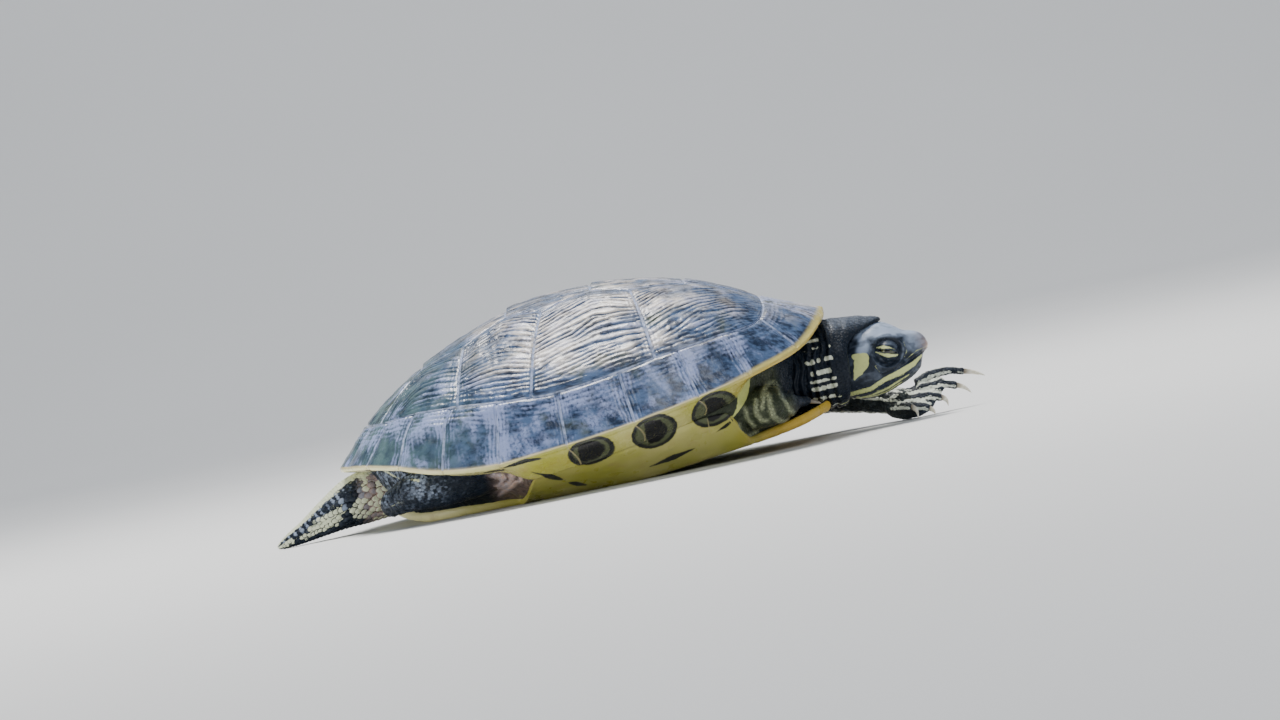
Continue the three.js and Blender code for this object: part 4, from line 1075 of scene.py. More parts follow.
def neck_loft():
    """The neck with the loose hood of skin round it, as one closed tube."""
    x, reach, half, top, base = drawn_out(NECK_RINGS, 70).T[..., None]
    angle = full_turn(72)[None, :]
    rise = np.sin(angle)
    forward = np.where(rise > 0, reach * np.abs(rise) ** HOOD_LEAN, -HOOD_TUCK * reach * rise ** 2)
    middle = (top + base) / 2
    across = half * signed_power(np.cos(angle), NECK_SQUARE[0])
    up = (top - middle) * signed_power(rise, NECK_SQUARE[1])
    return closed_tube(xyz(x + forward, across, middle + up))


def remeshed(lofts, voxel, rounds):
    """One smooth closed surface from overlapping closed lofts: its points and quads."""
    points = np.concatenate([p for p, _ in lofts])
    starts = np.cumsum([0] + [len(p) for p, _ in lofts])
    faces = np.concatenate([f + s for (_, f), s in zip(lofts, starts)])
    mesh = bpy.data.meshes.new("lofts")
    mesh.from_pydata((points * MM).tolist(), [], faces.tolist())
    work = linked("lofts", mesh)
    remesh = work.modifiers.new("remesh", "REMESH")
    remesh.mode = "VOXEL"
    remesh.voxel_size = voxel * MM
    soften = work.modifiers.new("soften", "SMOOTH")
    soften.factor = 0.5
    soften.iterations = rounds
    depsgraph = bpy.context.evaluated_depsgraph_get()
    made = bpy.data.meshes.new_from_object(work.evaluated_get(depsgraph))
    points = np.zeros(len(made.vertices) * 3)
    made.vertices.foreach_get("co", points)
    faces = np.zeros(len(made.loops), int)
    made.loops.foreach_get("vertex_index", faces)
    bpy.data.objects.remove(work)
    bpy.data.meshes.remove(mesh)
    return points.reshape(-1, 3) / MM, faces.reshape(-1, 4)


def mesh_normals(points, faces):
    """Direction outwards at every point of a mesh of quads."""
    corner = points[faces]
    face = np.cross(corner[:, 2] - corner[:, 0], corner[:, 3] - corner[:, 1])
    normal = np.zeros_like(points)
    for k in range(4):
        np.add.at(normal, faces[:, k], face)
    return unit(normal)


# ---------- the head ----------
EYE_AT = (100.9, 8.3, 27.8)
EYE_RADIUS = 4.1
LID = 0.5  # thickness of the eyelids
SLIT_TILT = math.radians(-19)
SLIT_LENGTH, SLIT_WIDTH = 3.9, 0.62  # half of each
# Powers of the oval that the head's section has above, below and across.
CROWN_SQUARE, JAW_SQUARE, CHEEK_SQUARE = 2.7, 2.15, 2.3
EYE_STATIONS = (95, 107.4)  # the head's grid is finer between these
NOSE_LENGTH = 9.7  # from the last of them to the nose's tip
NOSE_TIP = 117.1
# Height of the head's crown, height of its base and its half width, by x.
HEAD_TOP = [
    (80, 33), (86, 36), (92, 38.8), (97, 39.7), (101.8, 38.9), (105.7, 36.6), (108.6, 34.5),
    (110.6, 33.9), (113.4, 33.1), (115.4, 31.7), (116.6, 29.9), (117.1, 28),
]
HEAD_BASE = [
    (80, 15), (86, 12.6), (91, 11.5), (97.3, 12), (104.4, 14.4), (109, 16.4), (111.8, 18.4), (113.3, 20.2),
    (114.2, 22.4), (114.9, 24.2), (116, 25.2), (116.8, 26.2), (117.1, 27.2),
]
HEAD_HALF = [
    (80, 11.3), (86, 12.4), (92, 13.2), (97, 12.9), (101.8, 11.6), (105.7, 10.1), (109.6, 8.5),
    (113.6, 6.6), (115.8, 4.8), (116.7, 3.2), (117.1, 1.8),
]
NOSTRIL = (116.2, 1.75, 28.9)
MOUTH_FOLD = [(96.4, 20.4, 0), (95.2, 23, 0), (95.4, 26.5, 0)]
EYE_FOLD = [(107.4, 31.5, 0), (108.4, 28, 0), (106, 24.3, 0)]
MOUTH = [(94.8, 19.6), (96.8, 19.7), (104.8, 21), (109.5, 22.9), (113.5, 24.5), (117, 25.4)]


def eye_frame(x, z):
    """Place in the eye's own frame: along the slit, across it and the distance from its middle."""
    dx, dz = x - EYE_AT[0], z - EYE_AT[2]
    a = dx * math.cos(SLIT_TILT) + dz * math.sin(SLIT_TILT)
    b = dz * math.cos(SLIT_TILT) - dx * math.sin(SLIT_TILT)
    return a, b, np.hypot(dx, dz)


def slit_half(a):
    """Half width of the slit between the lids, at a distance along it from its middle."""
    return SLIT_WIDTH * np.maximum(1 - (a / SLIT_LENGTH) ** 2, 0)


def nostril_distance(points, side):
    return np.linalg.norm((points * (1, side, 1) - NOSTRIL) * (0.8, 1, 1.15), axis=-1)


def with_eyelids(out, x, z):
    """The head's half widths with its sockets, closed eyelids and the slits between them."""
    a, b, reach = eye_frame(x, z)
    lid_ball = EYE_RADIUS + LID
    lid = EYE_AT[1] + np.sqrt(np.maximum(lid_ball ** 2 - reach ** 2, 0))
    socket = out - 0.75 * bump(reach - 4.9, 0.9) + 0.35 * bump(reach - 6.3, 0.6)
    over_eye = 1 - smooth(reach, 4.3, 5.0)
    shaped = np.where(out > 4, lerp(socket, np.maximum(lid, socket - 1.2), over_eye), out)
    gap = np.abs(b) - slit_half(a)
    margin = 0.16 * bump(gap - 0.4, 0.3) * (reach < 4.4)
    open_eye = (1 - smooth(gap, -0.16, 0.08)) * (np.abs(a) < 3.85) * (reach < 4.2)
    wrinkle = 0.1 * np.sin(reach * 5.2) * bump(reach - 3.4, 1.1) * (b > 0.9)
    return shaped + margin - 1.15 * open_eye + wrinkle * (out > 4)


def mouth_relief(x, below):
    """How far the beak stands out above the line of the mouth, and the lower jaw falls back below it."""
    cut = 0.62 * bump(below, 0.3)
    beak = 0.3 * smooth(-below, 0.1, 0.5) * (1 - smooth(-below, 1.4, 3))
    lower = -0.35 * smooth(below, 0.1, 0.6) * (1 - smooth(below, 3, 6))
    return (beak + lower - cut) * smooth(x, 95.5, 97.5)


def head_surface():
    """Grid of the head, (stations, around, 3)."""
    back = np.linspace(HEAD_TOP[0][0], EYE_STATIONS[0], 30)[:-1]
    eye = np.linspace(*EYE_STATIONS, 60)[:-1]
    towards_tip = 1 - np.sin(np.linspace(0, np.pi / 2, 52))
    nose = NOSE_TIP - NOSE_LENGTH * towards_tip ** 0.9
    x = np.concatenate([back, eye, nose])[:, None]
    turn = full_turn(208)[None, :]
    turn = turn - 0.24 * np.sin(2 * turn)
    top, base, half = along(HEAD_TOP, x), along(HEAD_BASE, x), along(HEAD_HALF, x)
    widest = lerp(base, top, lerp(0.42, 0.5, smooth(x, 106, 114)))
    c, s = np.cos(turn), np.sin(turn)
    power = 2 / np.where(s > 0, CROWN_SQUARE, JAW_SQUARE)
    z = widest + np.where(s > 0, top - widest, widest - base) * signed_power(s, power)
    y = half * signed_power(c, 2 / CHEEK_SQUARE)
    side = np.sign(c)
    out = np.abs(y)
    # cheeks fall in under the eye and above the jaw, and the brow stands out
    out = out - 0.9 * bump(z - 23.5, 1.9) * bump(x - 107.5, 5) * (out / half)
    out = out + 0.45 * bump(z - 34, 1.4) * bump(x - 102, 6) * (out / half)
    below = along(MOUTH, x) - z
    sizing = np.clip(out / np.maximum(half, 0.1), 0, 1)
    shaped = with_eyelids(out, x, z) + mouth_relief(x, below) * sizing
    # the fold that runs from the corner of the mouth up to the eye, and the one in front of the eye
    shaped = shaped - 0.3 * bump(stroke(x, z, MOUTH_FOLD), 0.4) * (z < 30) * (out > 4)
    shaped = shaped - 0.2 * bump(stroke(x, z, EYE_FOLD), 0.45) * (out > 3)
    points = xyz(x, side * np.maximum(shaped, 0), z)
    # beak, mouth and nostrils on the front face
    front = smooth(x, 112.5, 115)
    points[..., 0] -= 0.45 * bump(below, 0.32) * front + 0.25 * smooth(below, 0.2, 0.8) * front
    for s in (-1, 1):
        hole = bump(nostril_distance(points, s), 0.62)
        points -= np.array([1.1, s * 0.45, 0.0]) * hole[..., None]
    rough = noise(points, 1.6, 41) + 0.6 * noise(points, 0.8, 42) - 0.8
    normal = ring_normals(points)
    normal *= np.where((normal * (points - (98, 0, 27))).sum() < 0, -1, 1)
    reach = eye_frame(x, z)[2]
    quiet = lerp(1, 0.3, smooth(z, 33, 36)) * smooth(reach, 3.9, 5.5) * smooth(118 - x, 0, 4)
    return points + normal * (0.16 * rough * quiet)[..., None]


# ---------- flesh between the shells ----------
FOOT_GAP = 2.2  # how far inside the plastron's edge the band stands
BAND_SCALE = INNER_SCALE - 0.014
BAND_STEPS = 26  # rows of points from belly to lip
BAND_TURNS = 620  # points round each row


def band_foot(direction):
    """Share of the way out to the rim at which the band stands on the plastron, in every direction."""
    share = np.full(len(direction), BAND_SCALE - 0.03)
    for _ in range(80):
        x, y = rim_point(direction, share)
        clear = (x < 59) & (x > -85) & (np.abs(y) < plastron_half(x) - FOOT_GAP)
        share = np.where(clear | (share < 0.3), share, share - 0.0075)
    around = np.r_[share[-4:], share, share[:4]]
    return np.convolve(around, np.ones(9) / 9, mode="valid")


def flesh_band():
    """Skin that closes the openings between carapace and plastron, from belly to lip."""
    direction = np.linspace(-180, 180, BAND_TURNS, endpoint=False)
    rim = rim_height(direction)
    x, y = rim_point(direction, band_foot(direction))
    foot = xyz(x, y, belly_height(x, y) + 1.2)
    x, y = rim_point(direction, BAND_SCALE)
    lip = xyz(x, y, rim - lerp(LIP, LIP_BRIDGE, bridge_weight(x)) + 1.4)
    top = xyz(*rim_point(direction, 0.82), rim + 3)
    up = np.linspace(0, 1, BAND_STEPS)[:, None, None]
    bulge = (lip - foot) * (1, 1, 0)
    bulge = bulge / np.maximum(np.linalg.norm(bulge, axis=1, keepdims=True), 1)
    open_here = 1 - smooth(foot[:, 0], -34, -28) * (1 - smooth(foot[:, 0], 22, 28))
    bulge *= open_here[:, None]
    wall = lerp(foot[None], lip[None], up) + bulge[None] * 1.2 * np.sin(np.pi * up)
    inner = foot * (0.9, 0.9, 1) + (WIDEST_X * 0.1, 0, 0.2)
    hubs = [np.broadcast_to((WIDEST_X, 0, z), foot.shape) for z in (6, 34)]
    rows = np.concatenate([hubs[0][None], inner[None], wall, top[None], hubs[1][None]])

    angle = np.radians(direction)
    outward = xyz(np.cos(angle), np.sin(angle), 0)
    place = xyz(angle[None, :] * 78, rows[..., 2], 0)
    waves = swing(place, (3.2, 6, 1), 51) + 0.6 * swing(place, (1.4, 2.4, 1), 52)
    calm = np.zeros(len(rows))
    calm[2:-2] = np.sin(np.pi * np.linspace(0.08, 0.95, BAND_STEPS)) ** 0.6
    swell = 1.2 * waves + 0.8 * folds(rows, POCKET_LOOPS) + 1.1 * folds(rows, GROIN_FOLDS)
    swell *= calm[:, None] * open_here
    points = rows + outward[None] * swell[..., None]
    return points.reshape(-1, 3), grid_faces(*rows.shape[:2], closed=True)


# ---------- markings of the skin ----------
USUAL_LOOK = dict(light=OUTSIDE, tone=0.0, warm=0.0, cream=0.0, olive=0.0, grain=1.0)


def looks(points, **given):
    """What the skin's material reads at every point, the usual values where none are given.

    light is millimetres inside a pale mark, tone how pale the grey between the marks is, warm how pink
    and olive how green it is, cream how white the marks are, and grain how pebbled the skin is."""
    return {
        key: np.array(np.broadcast_to(given.get(key, usual), len(points)), float)
        for key, usual in USUAL_LOOK.items()
    }


def nearest_frame(points, frames, gap):
    """Index of each point's nearest station, by gap, and its place ahead, beside and above there."""
    i = gap.argmin(axis=1)
    local = points - frames[0][i]
    return i, *((local * way[i]).sum(axis=1) for way in frames[1:4])


def near_path(points, stations):
    """Each point's distance run along a limb and its angle round it."""
    frames = frames_along(stations, 60, UP)
    i, ahead, beside, above = nearest_frame(points, frames, distances(points, frames[0]))
    return distance_run(frames[0])[i] + ahead, np.arctan2(above, beside)


HEAD_LIGHT = [
    [(98, 17.6, 0.95), (104.6, 19.1, 1.3), (110, 21.2, 1.0), (113.6, 23.6, 0.5)],
    [(98, 17.6, 0.95), (92, 15.1, 0.95), (84, 14.6, 0.9)],
    [(107.2, 17.4, 0.35), (99, 14.2, 0.55), (92, 12.6, 0.5), (84, 12.2, 0.4)],
    [(96.6, 20.6, 0.1), (95.2, 23.2, 0.18), (97.4, 24.8, 0.1)],
    [(106.4, 23.6, 0.1), (108.2, 26.4, 0.18), (107.9, 30, 0.1)],
    [(116.6, 26.6, 0.1), (112, 25.8, 0.2), (107.5, 23.4, 0.12)],
]
PATCH = [(91.4, 26.9, 2.3), (90.4, 25.4, 2.9), (88.8, 22.8, 2.0), (86.6, 19.9, 0.4)]
PATCH_TOP = [(88.4, 28.2, 1.2), (92.2, 27.8, 1.3)]
CHEEK_HIGHLIGHT = [(92.4, 36, 1.6), (92.8, 32.4, 2.2), (91.6, 29.6, 2.0)]  # painted highlight on the skin above the patch
THROAT_STRIPES = [(0.0, 0.9), (5.2, 0.7), (9.2, 0.5)]


def head_marks(points):
    """A crown paler with painted highlight, a snout paler on top, partly its own colour and partly painted
    highlight, a dark side with the pale patch and lines and a painted highlight over the patch, and a striped
    throat.
    """
    x, y, z = points.T
    light = strokes(x, z, [PATCH, PATCH_TOP, *HEAD_LIGHT])
    a, b, reach = eye_frame(x, z)
    upper = b - slit_half(a)
    lower = -b - slit_half(a)
    lid = reach < 4.5
    light = np.maximum(light, np.where(lid, 0.75 - np.abs(upper - 0.85), OUTSIDE) - 0.16 * np.abs(a + 1.6))
    light = np.maximum(light, np.where(lid, 0.85 - np.abs(lower - 0.85), OUTSIDE) - 0.12 * np.abs(a - 0.6))
    below = (z < 17) & (z < 13.5 + 0.12 * (x - 90))
    for place, half in THROAT_STRIPES:
        light = np.maximum(light, np.where(below, half - np.abs(np.abs(y) - place), OUTSIDE))
    # painted highlight: the crown and the skin above the patch are paler; the snout's top partly so
    crown = smooth(z - 0.12 * (104 - x), 31.6, 34.6) * smooth(x, 87, 91)
    snout = 0.5 * smooth(x, 106.5, 110.5) * smooth(z, 24.6, 28)
    cheek_highlight = 0.72 * smooth(stroke(x, z, CHEEK_HIGHLIGHT) + 1.2 * swing(points, 2.6, 43), -1.3, 1.1)
    lid_tone = 0.2 * smooth(upper, 1.4, 2.4) * lid
    tone = np.clip(np.max([crown, snout, cheek_highlight], axis=0) + lid_tone, 0, 1)
    tone = tone * lerp(1, 0.45, bump(reach - 5.0, 0.9) * (z < 33.5)) + 0.03 + 0.1 * noise(points, 3.5, 44)
    flecks = smooth(noise(points, (2.4, 1.1, 1.1), 45), 0.45, 0.68)
    tone = lerp(tone, 0.5 * tone, flecks * smooth(tone, 0.1, 0.5))
    ring = bump(reach - 6.1, 0.35) * (z < 31) * smooth(z, 20, 23)
    tone = tone + 0.16 * ring + 0.12 * flecks * (z > 18)
    # painted shade inside the nostrils
    tone = tone * smooth(nostril_distance(np.abs(points), 1), 0.5, 1.1)
    warm = 0.75 * bump(np.hypot(x - 116.9, z - 27.2), 1.8) + 0.3 * snout * smooth(x, 111, 115)
    return looks(points, light=light, tone=tone, warm=warm, cream=0.12 + 0.1 * lid, grain=0)


# The line of the hood's edge, by height, and the height and half width of the stripes on the hood.
HOOD_EDGE = [(12, 84), (28, 86), (34, 88.2), (37, 90.5), (39, 95.5), (41, 101)]
NECK_STRIPES = [(37.6, 0.7), (34.4, 0.9), (29.8, 1.15), (25.4, 1.05), (22.2, 0.7), (19.4, 1.0), (15.6, 0.8)]


def neck_marks(points):
    """Narrow pale stripes, torn by the skin's folds, on a dark neck, and a hood made greyer on top by painted
    sheen, with painted shade along its edge.
    """
    x, y, z = points.T
    side = np.abs(y)
    wobble = 1.1 * swing(points, (4, 40, 40), 61)
    behind = 1 - smooth(x, 79.5, 81.5)
    widening = np.maximum(side / 17, 0.35) ** 0.2
    light = np.max([half - np.abs(z + wobble - height) / widening for height, half in NECK_STRIPES], axis=0)
    torn = 1.5 * smooth(noise(points, (1.1, 9, 2.6), 62), 0.5, 0.75) + 2 * (1 - smooth(x, 68, 70.5))
    light = np.where((side > 6) & (z <= 40), light - torn, OUTSIDE)
    under = np.where(z < 15, 0.9 - np.abs((side + wobble) % 5.2 - 2.6), OUTSIDE)
    light = np.maximum(light + lerp(-2.2, 0, behind), under - 0.4)
    # painted shade: the grey mottling fades out towards the shell
    shadow = smooth(x, 68, 78)
    # painted sheen: the hood is paler on top
    hood = 0.24 * smooth(z, 35, 43) * smooth(x, 76, 82)
    tone = 0.01 + shadow * (hood + 0.04 * noise(points, 5, 63) * smooth(z, 24, 32))
    # painted shade along the hood's edge, and painted sheen that keeps only the top of the hood pale
    edge = smooth(x - along(HOOD_EDGE, z), -1.6, 0)
    tone = tone * (1 - 0.6 * edge) * lerp(0.4, 1, smooth(z, 36, 41))
    return looks(points, light=light, tone=tone, cream=0.9 * behind)


def beside_digits(points, limb):
    """Millimetres inside the pale lines along both edges of every digit, on its upper face."""
    lean = np.array(limb["lean"])
    best = np.full(len(points), OUTSIDE)
    for digit, _ in limb["digits"]:
        line = np.array(digit, float)
        line[0] -= 1.4 * (line[1] - line[0])
        sideways = unit(np.cross(np.gradient(line, axis=0), lean))
        for side in (-1, 1):
            edge = resample(line + side * 0.8 * limb["wide"] * sideways + 0.55 * limb["tall"] * lean, 40)
            best = np.maximum(best, 0.4 * limb["wide"] - distances(points, edge).min(axis=1))
    return best


# Angle round the leg, in radians, and half width of the stripes on a foreleg.
FORELEG_STRIPES = [(0.15, 0.5), (1.0, 0.55), (2.0, 0.5), (3.0, 0.45), (-1.1, 0.7), (-2.1, 0.6)]


def foreleg_marks(points, limb=FORELEG_LEFT):
    """Pale stripes down the leg and along the edges of the digits."""
    _, angle = near_path(points, limb["path"])
    x = points[:, 0]
    stripes = np.full(len(x), OUTSIDE)
    for place, half in FORELEG_STRIPES:
        turn = np.abs(np.angle(np.exp(1j * (angle - place))))
        stripes = np.maximum(stripes, half - turn * 5.5)
    stripes = np.where(x < limb["palm"][1][0], stripes, OUTSIDE)
    light = np.maximum(stripes, beside_digits(points, limb)) + 0.4 * swing(points, 1.6, 71)
    tone = 0.01 + 0.14 * noise(points, 2.4, 72)
    return looks(points, light=light, tone=tone, cream=1, olive=0.3 * (x < 108))


# Pale loops on the folded skin of the front pockets, in the side view.
POCKET_LOOPS = [
    [(49.6, 17.5, 0.6), (50.8, 22.6, 0.8), (53.2, 25.4, 0.9), (55.6, 25.6, 0.8), (57, 23.4, 0.7),
     (57.4, 20, 0.8), (58.8, 16.4, 0.7), (61.2, 12.4, 0.6)],
    [(52.4, 22, 0.6), (52.8, 18, 0.9), (53.4, 13.8, 1.0), (55.6, 11.2, 1.0), (59.4, 10.2, 0.6)],
    [(47.8, 21, 0.5), (47.1, 16.4, 0.9), (48.8, 13, 0.9), (51.2, 12.4, 0.5)],
    [(36.2, 11.2, 0.5), (37.6, 13.6, 0.8), (39.8, 13, 0.8), (40.4, 9.8, 0.8), (41.6, 7.6, 0.7),
     (45.8, 8.9, 0.6)],
    [(43.6, 18.6, 0.4), (43.4, 14.4, 0.7), (45.4, 11, 0.5)],
    [(61.8, 20.4, 0.4), (63.8, 17.6, 0.7), (65.6, 14.6, 0.8), (67.6, 13, 0.4)],
]
# The folds behind the bridge in front of each hind leg, which fan out to the rear.
GROIN_FOLDS = [
    [(-56, 19.6, 0.3), (-47, 18.4, 0.6), (-40.6, 14.6, 0.6), (-42.6, 9.4, 0.5), (-52, 5.2, 0.3)],
    [(-56, 16.6, 0.3), (-49, 15.6, 0.6), (-44.4, 13, 0.6), (-46.4, 9.4, 0.5), (-55, 6.2, 0.3)],
    [(-57, 13.8, 0.2), (-51, 13, 0.5), (-48.2, 11.6, 0.6), (-51, 9, 0.4), (-58, 7.6, 0.2)],
]


def folds(points, paths):
    """How high each point is on the soft folds that run along some paths, from 0 to 1."""
    x, z = points[..., 0] + 1.2 * swing(points, 4, 73), points[..., 2] + 1.2 * swing(points, 4, 74)
    return smooth(strokes(x, z, paths), -0.9, 0.5)


def pocket_look(points):
    """Tone and olive share of the skin in a front pocket, with painted shade in its recess."""
    x, z = points[..., 0], points[..., 2]
    # painted shade: the recess is darkened and loses its olive
    recess = smooth(x, 56, 60) * smooth(z, 17, 22)
    raised_skin = folds(points, POCKET_LOOPS)
    tone = (0.02 + 0.09 * noise(points, 4, 76) + 0.36 * raised_skin) * (1 - recess)
    return tone, 0.9 * (1 - recess)


def folded_foreleg_marks(points):
    """The right foreleg, whose upper part has the skin of its pocket."""
    base = foreleg_marks(points, FORELEG_RIGHT)
    tone, olive = pocket_look(points)
    foot = smooth(points[:, 0], 60, 64)
    light = base["light"] - 0.3 + OUTSIDE * (1 - foot)
    tone = lerp(tone, base["tone"], foot)
    return looks(points, light=light, tone=tone, cream=0.35, olive=olive * (1 - foot))


HIND_STRIPES = [
    [(-94, 23.6, 0.9), (-90, 20.6, 0.8), (-86.5, 18, 0.4)],
    [(-84.6, 19.4, 0.3), (-81, 19.6, 0.6), (-78, 18.4, 0.3)],
    [(-81.6, 17.4, 0.4), (-79.2, 16.6, 0.9), (-77, 15.4, 0.4)],
    [(-93, 8.4, 0.3), (-89, 9.6, 0.5), (-84, 9.4, 0.2)],
]


def hindleg_marks(points):
    """Pale spots behind, on grey, speckled skin that is darker low down and pinker towards the groin."""
    x, _, z = points.T
    light = strokes(x, z, HIND_STRIPES) - 0.3 + 0.4 * swing(points, 1.4, 81)
    shade = lerp(0.12, 1, smooth(-x, 60, 82)) * lerp(0.5, 1, smooth(z, 6, 12))
    patchy = lerp(0.4, 1, smooth(noise(points, 6, 84), 0.25, 0.6))
    tone = 0.015 + 0.56 * smooth(noise(points, 0.8, 83), 0.3, 0.7) * patchy * shade
    inner = smooth(x, -56, -46)
    return looks(points, light=light - 2 * inner, tone=tone, warm=0.5 * inner, cream=0.55)


BELT_FOOT = 0.36  # sine of the angle at which the tail's dark belt ends below


def tail_marks(points):
    """A cream ridge, a dark belt with pale bars, cream knobs below it and a dusky underside."""
    run, angle = near_path(points, TAIL_PATH)
    up = np.sin(angle)
    base = smooth(points[:, 0], -106, -99)
    ridge = (up - 0.8) * 7
    gaps = 2.4 * smooth(noise(points, 3.4, 92), 0.6, 0.72)
    knobs = np.minimum((BELT_FOOT - up) * 5, (up + 0.75) * 5) - gaps
    blotched = 0.8 - 2.8 * smooth(noise(points, 3.2, 93), 0.52, 0.64)
    light = lerp(np.maximum(ridge, knobs), blotched, base)
    bars = 0.5 * smooth(np.abs(((run / 2.6) % 1) - 0.5), 0.28, 0.4) * (up > 0)
    tone = 0.03 + 0.1 * noise(points, 3, 94) + lerp(bars, 0.35, base)
    return looks(points, light=light, tone=tone, warm=0.45 * base, cream=0.7)


# Height and x of the line where the yellow of the bridge ends on the skin of a front pocket.
BRIDGE_END = [(8, 30), (12.2, 31.4), (14.7, 36.7), (21.4, 44.5), (29.6, 48)]


def ahead_of_bridge(points):
    return points[..., 0] - along(BRIDGE_END, points[..., 2])


def band_marks(points):
    """Skin of the openings: the end of the yellow bridge, the front pockets, the groin and the thigh."""
    x = points[:, 0]
    front = smooth(x, 8, 30)
    bridge = np.clip(-ahead_of_bridge(points), OUTSIDE, 0.8)
    bridge = np.minimum(bridge, -shell_blotches(points)[0])
    light = np.where(front > 0.5, bridge, (noise(points, (1.4, 1.4, 5), 95) - 0.85) * 2)
    groin = smooth(-x, 20, 30) * (1 - smooth(-x, 48, 56))
    fold = folds(points, GROIN_FOLDS)
    pocket, olive = pocket_look(points)
    behind = 0.03 + 0.1 * noise(points, 5, 96) + groin * (0.02 + 0.8 * fold)
    thigh = (1 - front) * smooth(-x, 50, 58)
    leg = hindleg_marks(points)
    light = lerp(light, leg["light"], thigh)
    tone = lerp(lerp(behind, pocket, front), leg["tone"], thigh)
    warm = groin * (0.26 + 0.7 * fold)
    return looks(points, light=light, tone=tone, warm=warm, cream=0.55 * thigh, olive=olive * front)


SKIN_NODES = [
    "trunk", "neck", "head", "jaw", "foreleg_left", "forefoot_left", "foreleg_right", "forefoot_right",
    "hindleg_left", "hindfoot_left", "hindleg_right", "hindfoot_right", "tail",
]


# Size of the grid that turns a limb's lofts into one surface, and the marks of its skin.
LIMB_SKINS = {
    "forefoot_left": (0.42, foreleg_marks), "forefoot_right": (0.5, folded_foreleg_marks),
    "hindfoot_left": (0.55, hindleg_marks), "hindfoot_right": (0.55, hindleg_marks),
}


def neck_surface():
    """The neck, wrinkled and warty, and the hood, whose folds are soft."""
    points, faces = remeshed([neck_loft()], 0.5, 3)
    x = points[:, 0]
    hood = smooth(x, 78, 82)
    wrinkle = np.sin((x + 3 * noise(points, (9, 9, 7), 64)) * 2.1) * (1 - hood) * 0.55
    soft = swing(points, (2.6, 8, 8), 65) * 1.3 * hood
    warts = np.maximum(noise(points, 1.5, 66) - 0.55, 0) * 1.6 * (1 - hood)
    return points + mesh_normals(points, faces) * (wrinkle + soft * 0.6 + warts)[:, None], faces


def limb_surface(limb, voxel):
    """A leg and its foot, crumpled, and folded where the skin of a front pocket runs on over it."""
    points, faces = remeshed(limb_lofts(limb), voxel, 4)
    crumple = swing(points, 2.6, 67) + 0.5 * swing(points, 1.2, 68)
    fold = folds(points, POCKET_LOOPS) * (points[:, 0] < 60)
    points = points + mesh_normals(points, faces) * (0.45 * crumple + 0.5 * fold)[:, None]
    return above_floor(points), faces


def skin_regions():
    """Every region of the skin: its points, its faces and the function that marks it."""
    regions = {"head": (*closed_tube(head_surface()), head_marks), "neck": (*neck_surface(), neck_marks)}
    for name, (voxel, marks) in LIMB_SKINS.items():
        regions[name] = (*limb_surface(LIMBS[name], voxel), marks)
    points, faces = remeshed([tube(TAIL_PATH, steps=60, count=40)], 0.55, 3)
    regions["tail"] = (above_floor(points), faces, tail_marks)
    regions["flesh"] = (*flesh_band(), band_marks)
    return regions


SKIN_DARK = (0.004, 0.009, 0.018)
SKIN_GREY = (0.31, 0.38, 0.51)
SKIN_WARM = (0.60, 0.40, 0.30)
SKIN_OLIVE = (0.022, 0.030, 0.014)
SKIN_STRAW = (0.42, 0.45, 0.24)
MARK_YELLOW = (0.50, 0.54, 0.17)
MARK_CREAM = (0.74, 0.78, 0.68)
MARK_WORN = (0.3, 0.33, 0.16)


def skin_material(name, relief):
    """Dark wet skin with pale marks. Scales have it too, so marks run on over them."""
    m = Material(name, 0.4, coat=0.07, specular=0.18)
    tone = m.plus(m.value("tone"), m.swing(0.22, 1.3, 4))
    dark = m.mix(m.value("olive"), SKIN_DARK, SKIN_OLIVE)
    grey = m.mix(m.value("olive"), SKIN_GREY, SKIN_STRAW)
    base = m.mix(m.span(tone, 0, 1), dark, grey)
    flush = m.times(m.value("warm"), m.span(m.noise(2.2, 3), 0.3, 0.6, 0.5, 1))
    base = m.mix(flush, base, SKIN_WARM)
    inside = m.plus(m.value("light"), m.swing(0.5, 0.9, 2))
    pale = m.mix(m.value("cream"), MARK_YELLOW, MARK_CREAM)
    pale = m.mix(m.span(m.noise(1.1, 3, seed=4), 0.5, 0.75, 0, 0.35), pale, MARK_WORN)
    colour = m.mix(m.span(inside, -0.05, 0.3), base, pale)
    pebbles = m.times(m.span(m.cells(0.9), 0, 0.12), m.value("grain"))
    height = m.plus(pebbles, m.times(m.noise(0.5, 3), 0.6))
    roughness = m.span(m.noise(1.7, 3, seed=8), 0.3, 0.7, 0.28, 0.52)
    return m.finish(colour, Roughness=roughness, Normal=m.bump(height, relief))


def make_skin():
    """The skin as one piece; its regions are handed on to the scales."""
    shape = Shape()
    regions = skin_regions()
    for points, faces, marks in regions.values():
        shape.add(points, faces, **marks(points))
    build_mesh("skin", shape, skin_material("turtle_skin", 0.07), SKIN_NODES)
    return regions


# ---------- scales ----------
SCALE_SIDES = 8
SCALE_SUNK = 0.12  # how far a scale's root lies under the skin
SCALE_FOOT = 0.3  # how far its hidden middle does
SCALE_PAINTED_SHADING = [0.3, 1.15, 1.3, 0.3]  # tone of a scale's outline, ring, crown and foot, against the skin's: painted shade at the outline, painted highlight on ring and crown
SCALE_PATCH = 0.003  # width of a scale's patch on its map
TRIES = 5  # places tried for every one that has room
HIDDEN_SHARE = 0.8  # nearer to the shell's middle than this, limbs have no scales

# Spacing of a limb's scales on its upper part, its foot and its digits, and the lift of their tips.
LIMB_SCALES = {
    "forefoot_left": ((1.3, 1.0, 0.78), 0.13), "forefoot_right": ((1.1, 0.9, 0.8), 0.09),
    "hindfoot_left": ((1.05, 0.95, 0.8), 0.16), "hindfoot_right": ((1.05, 0.95, 0.8), 0.16),
}
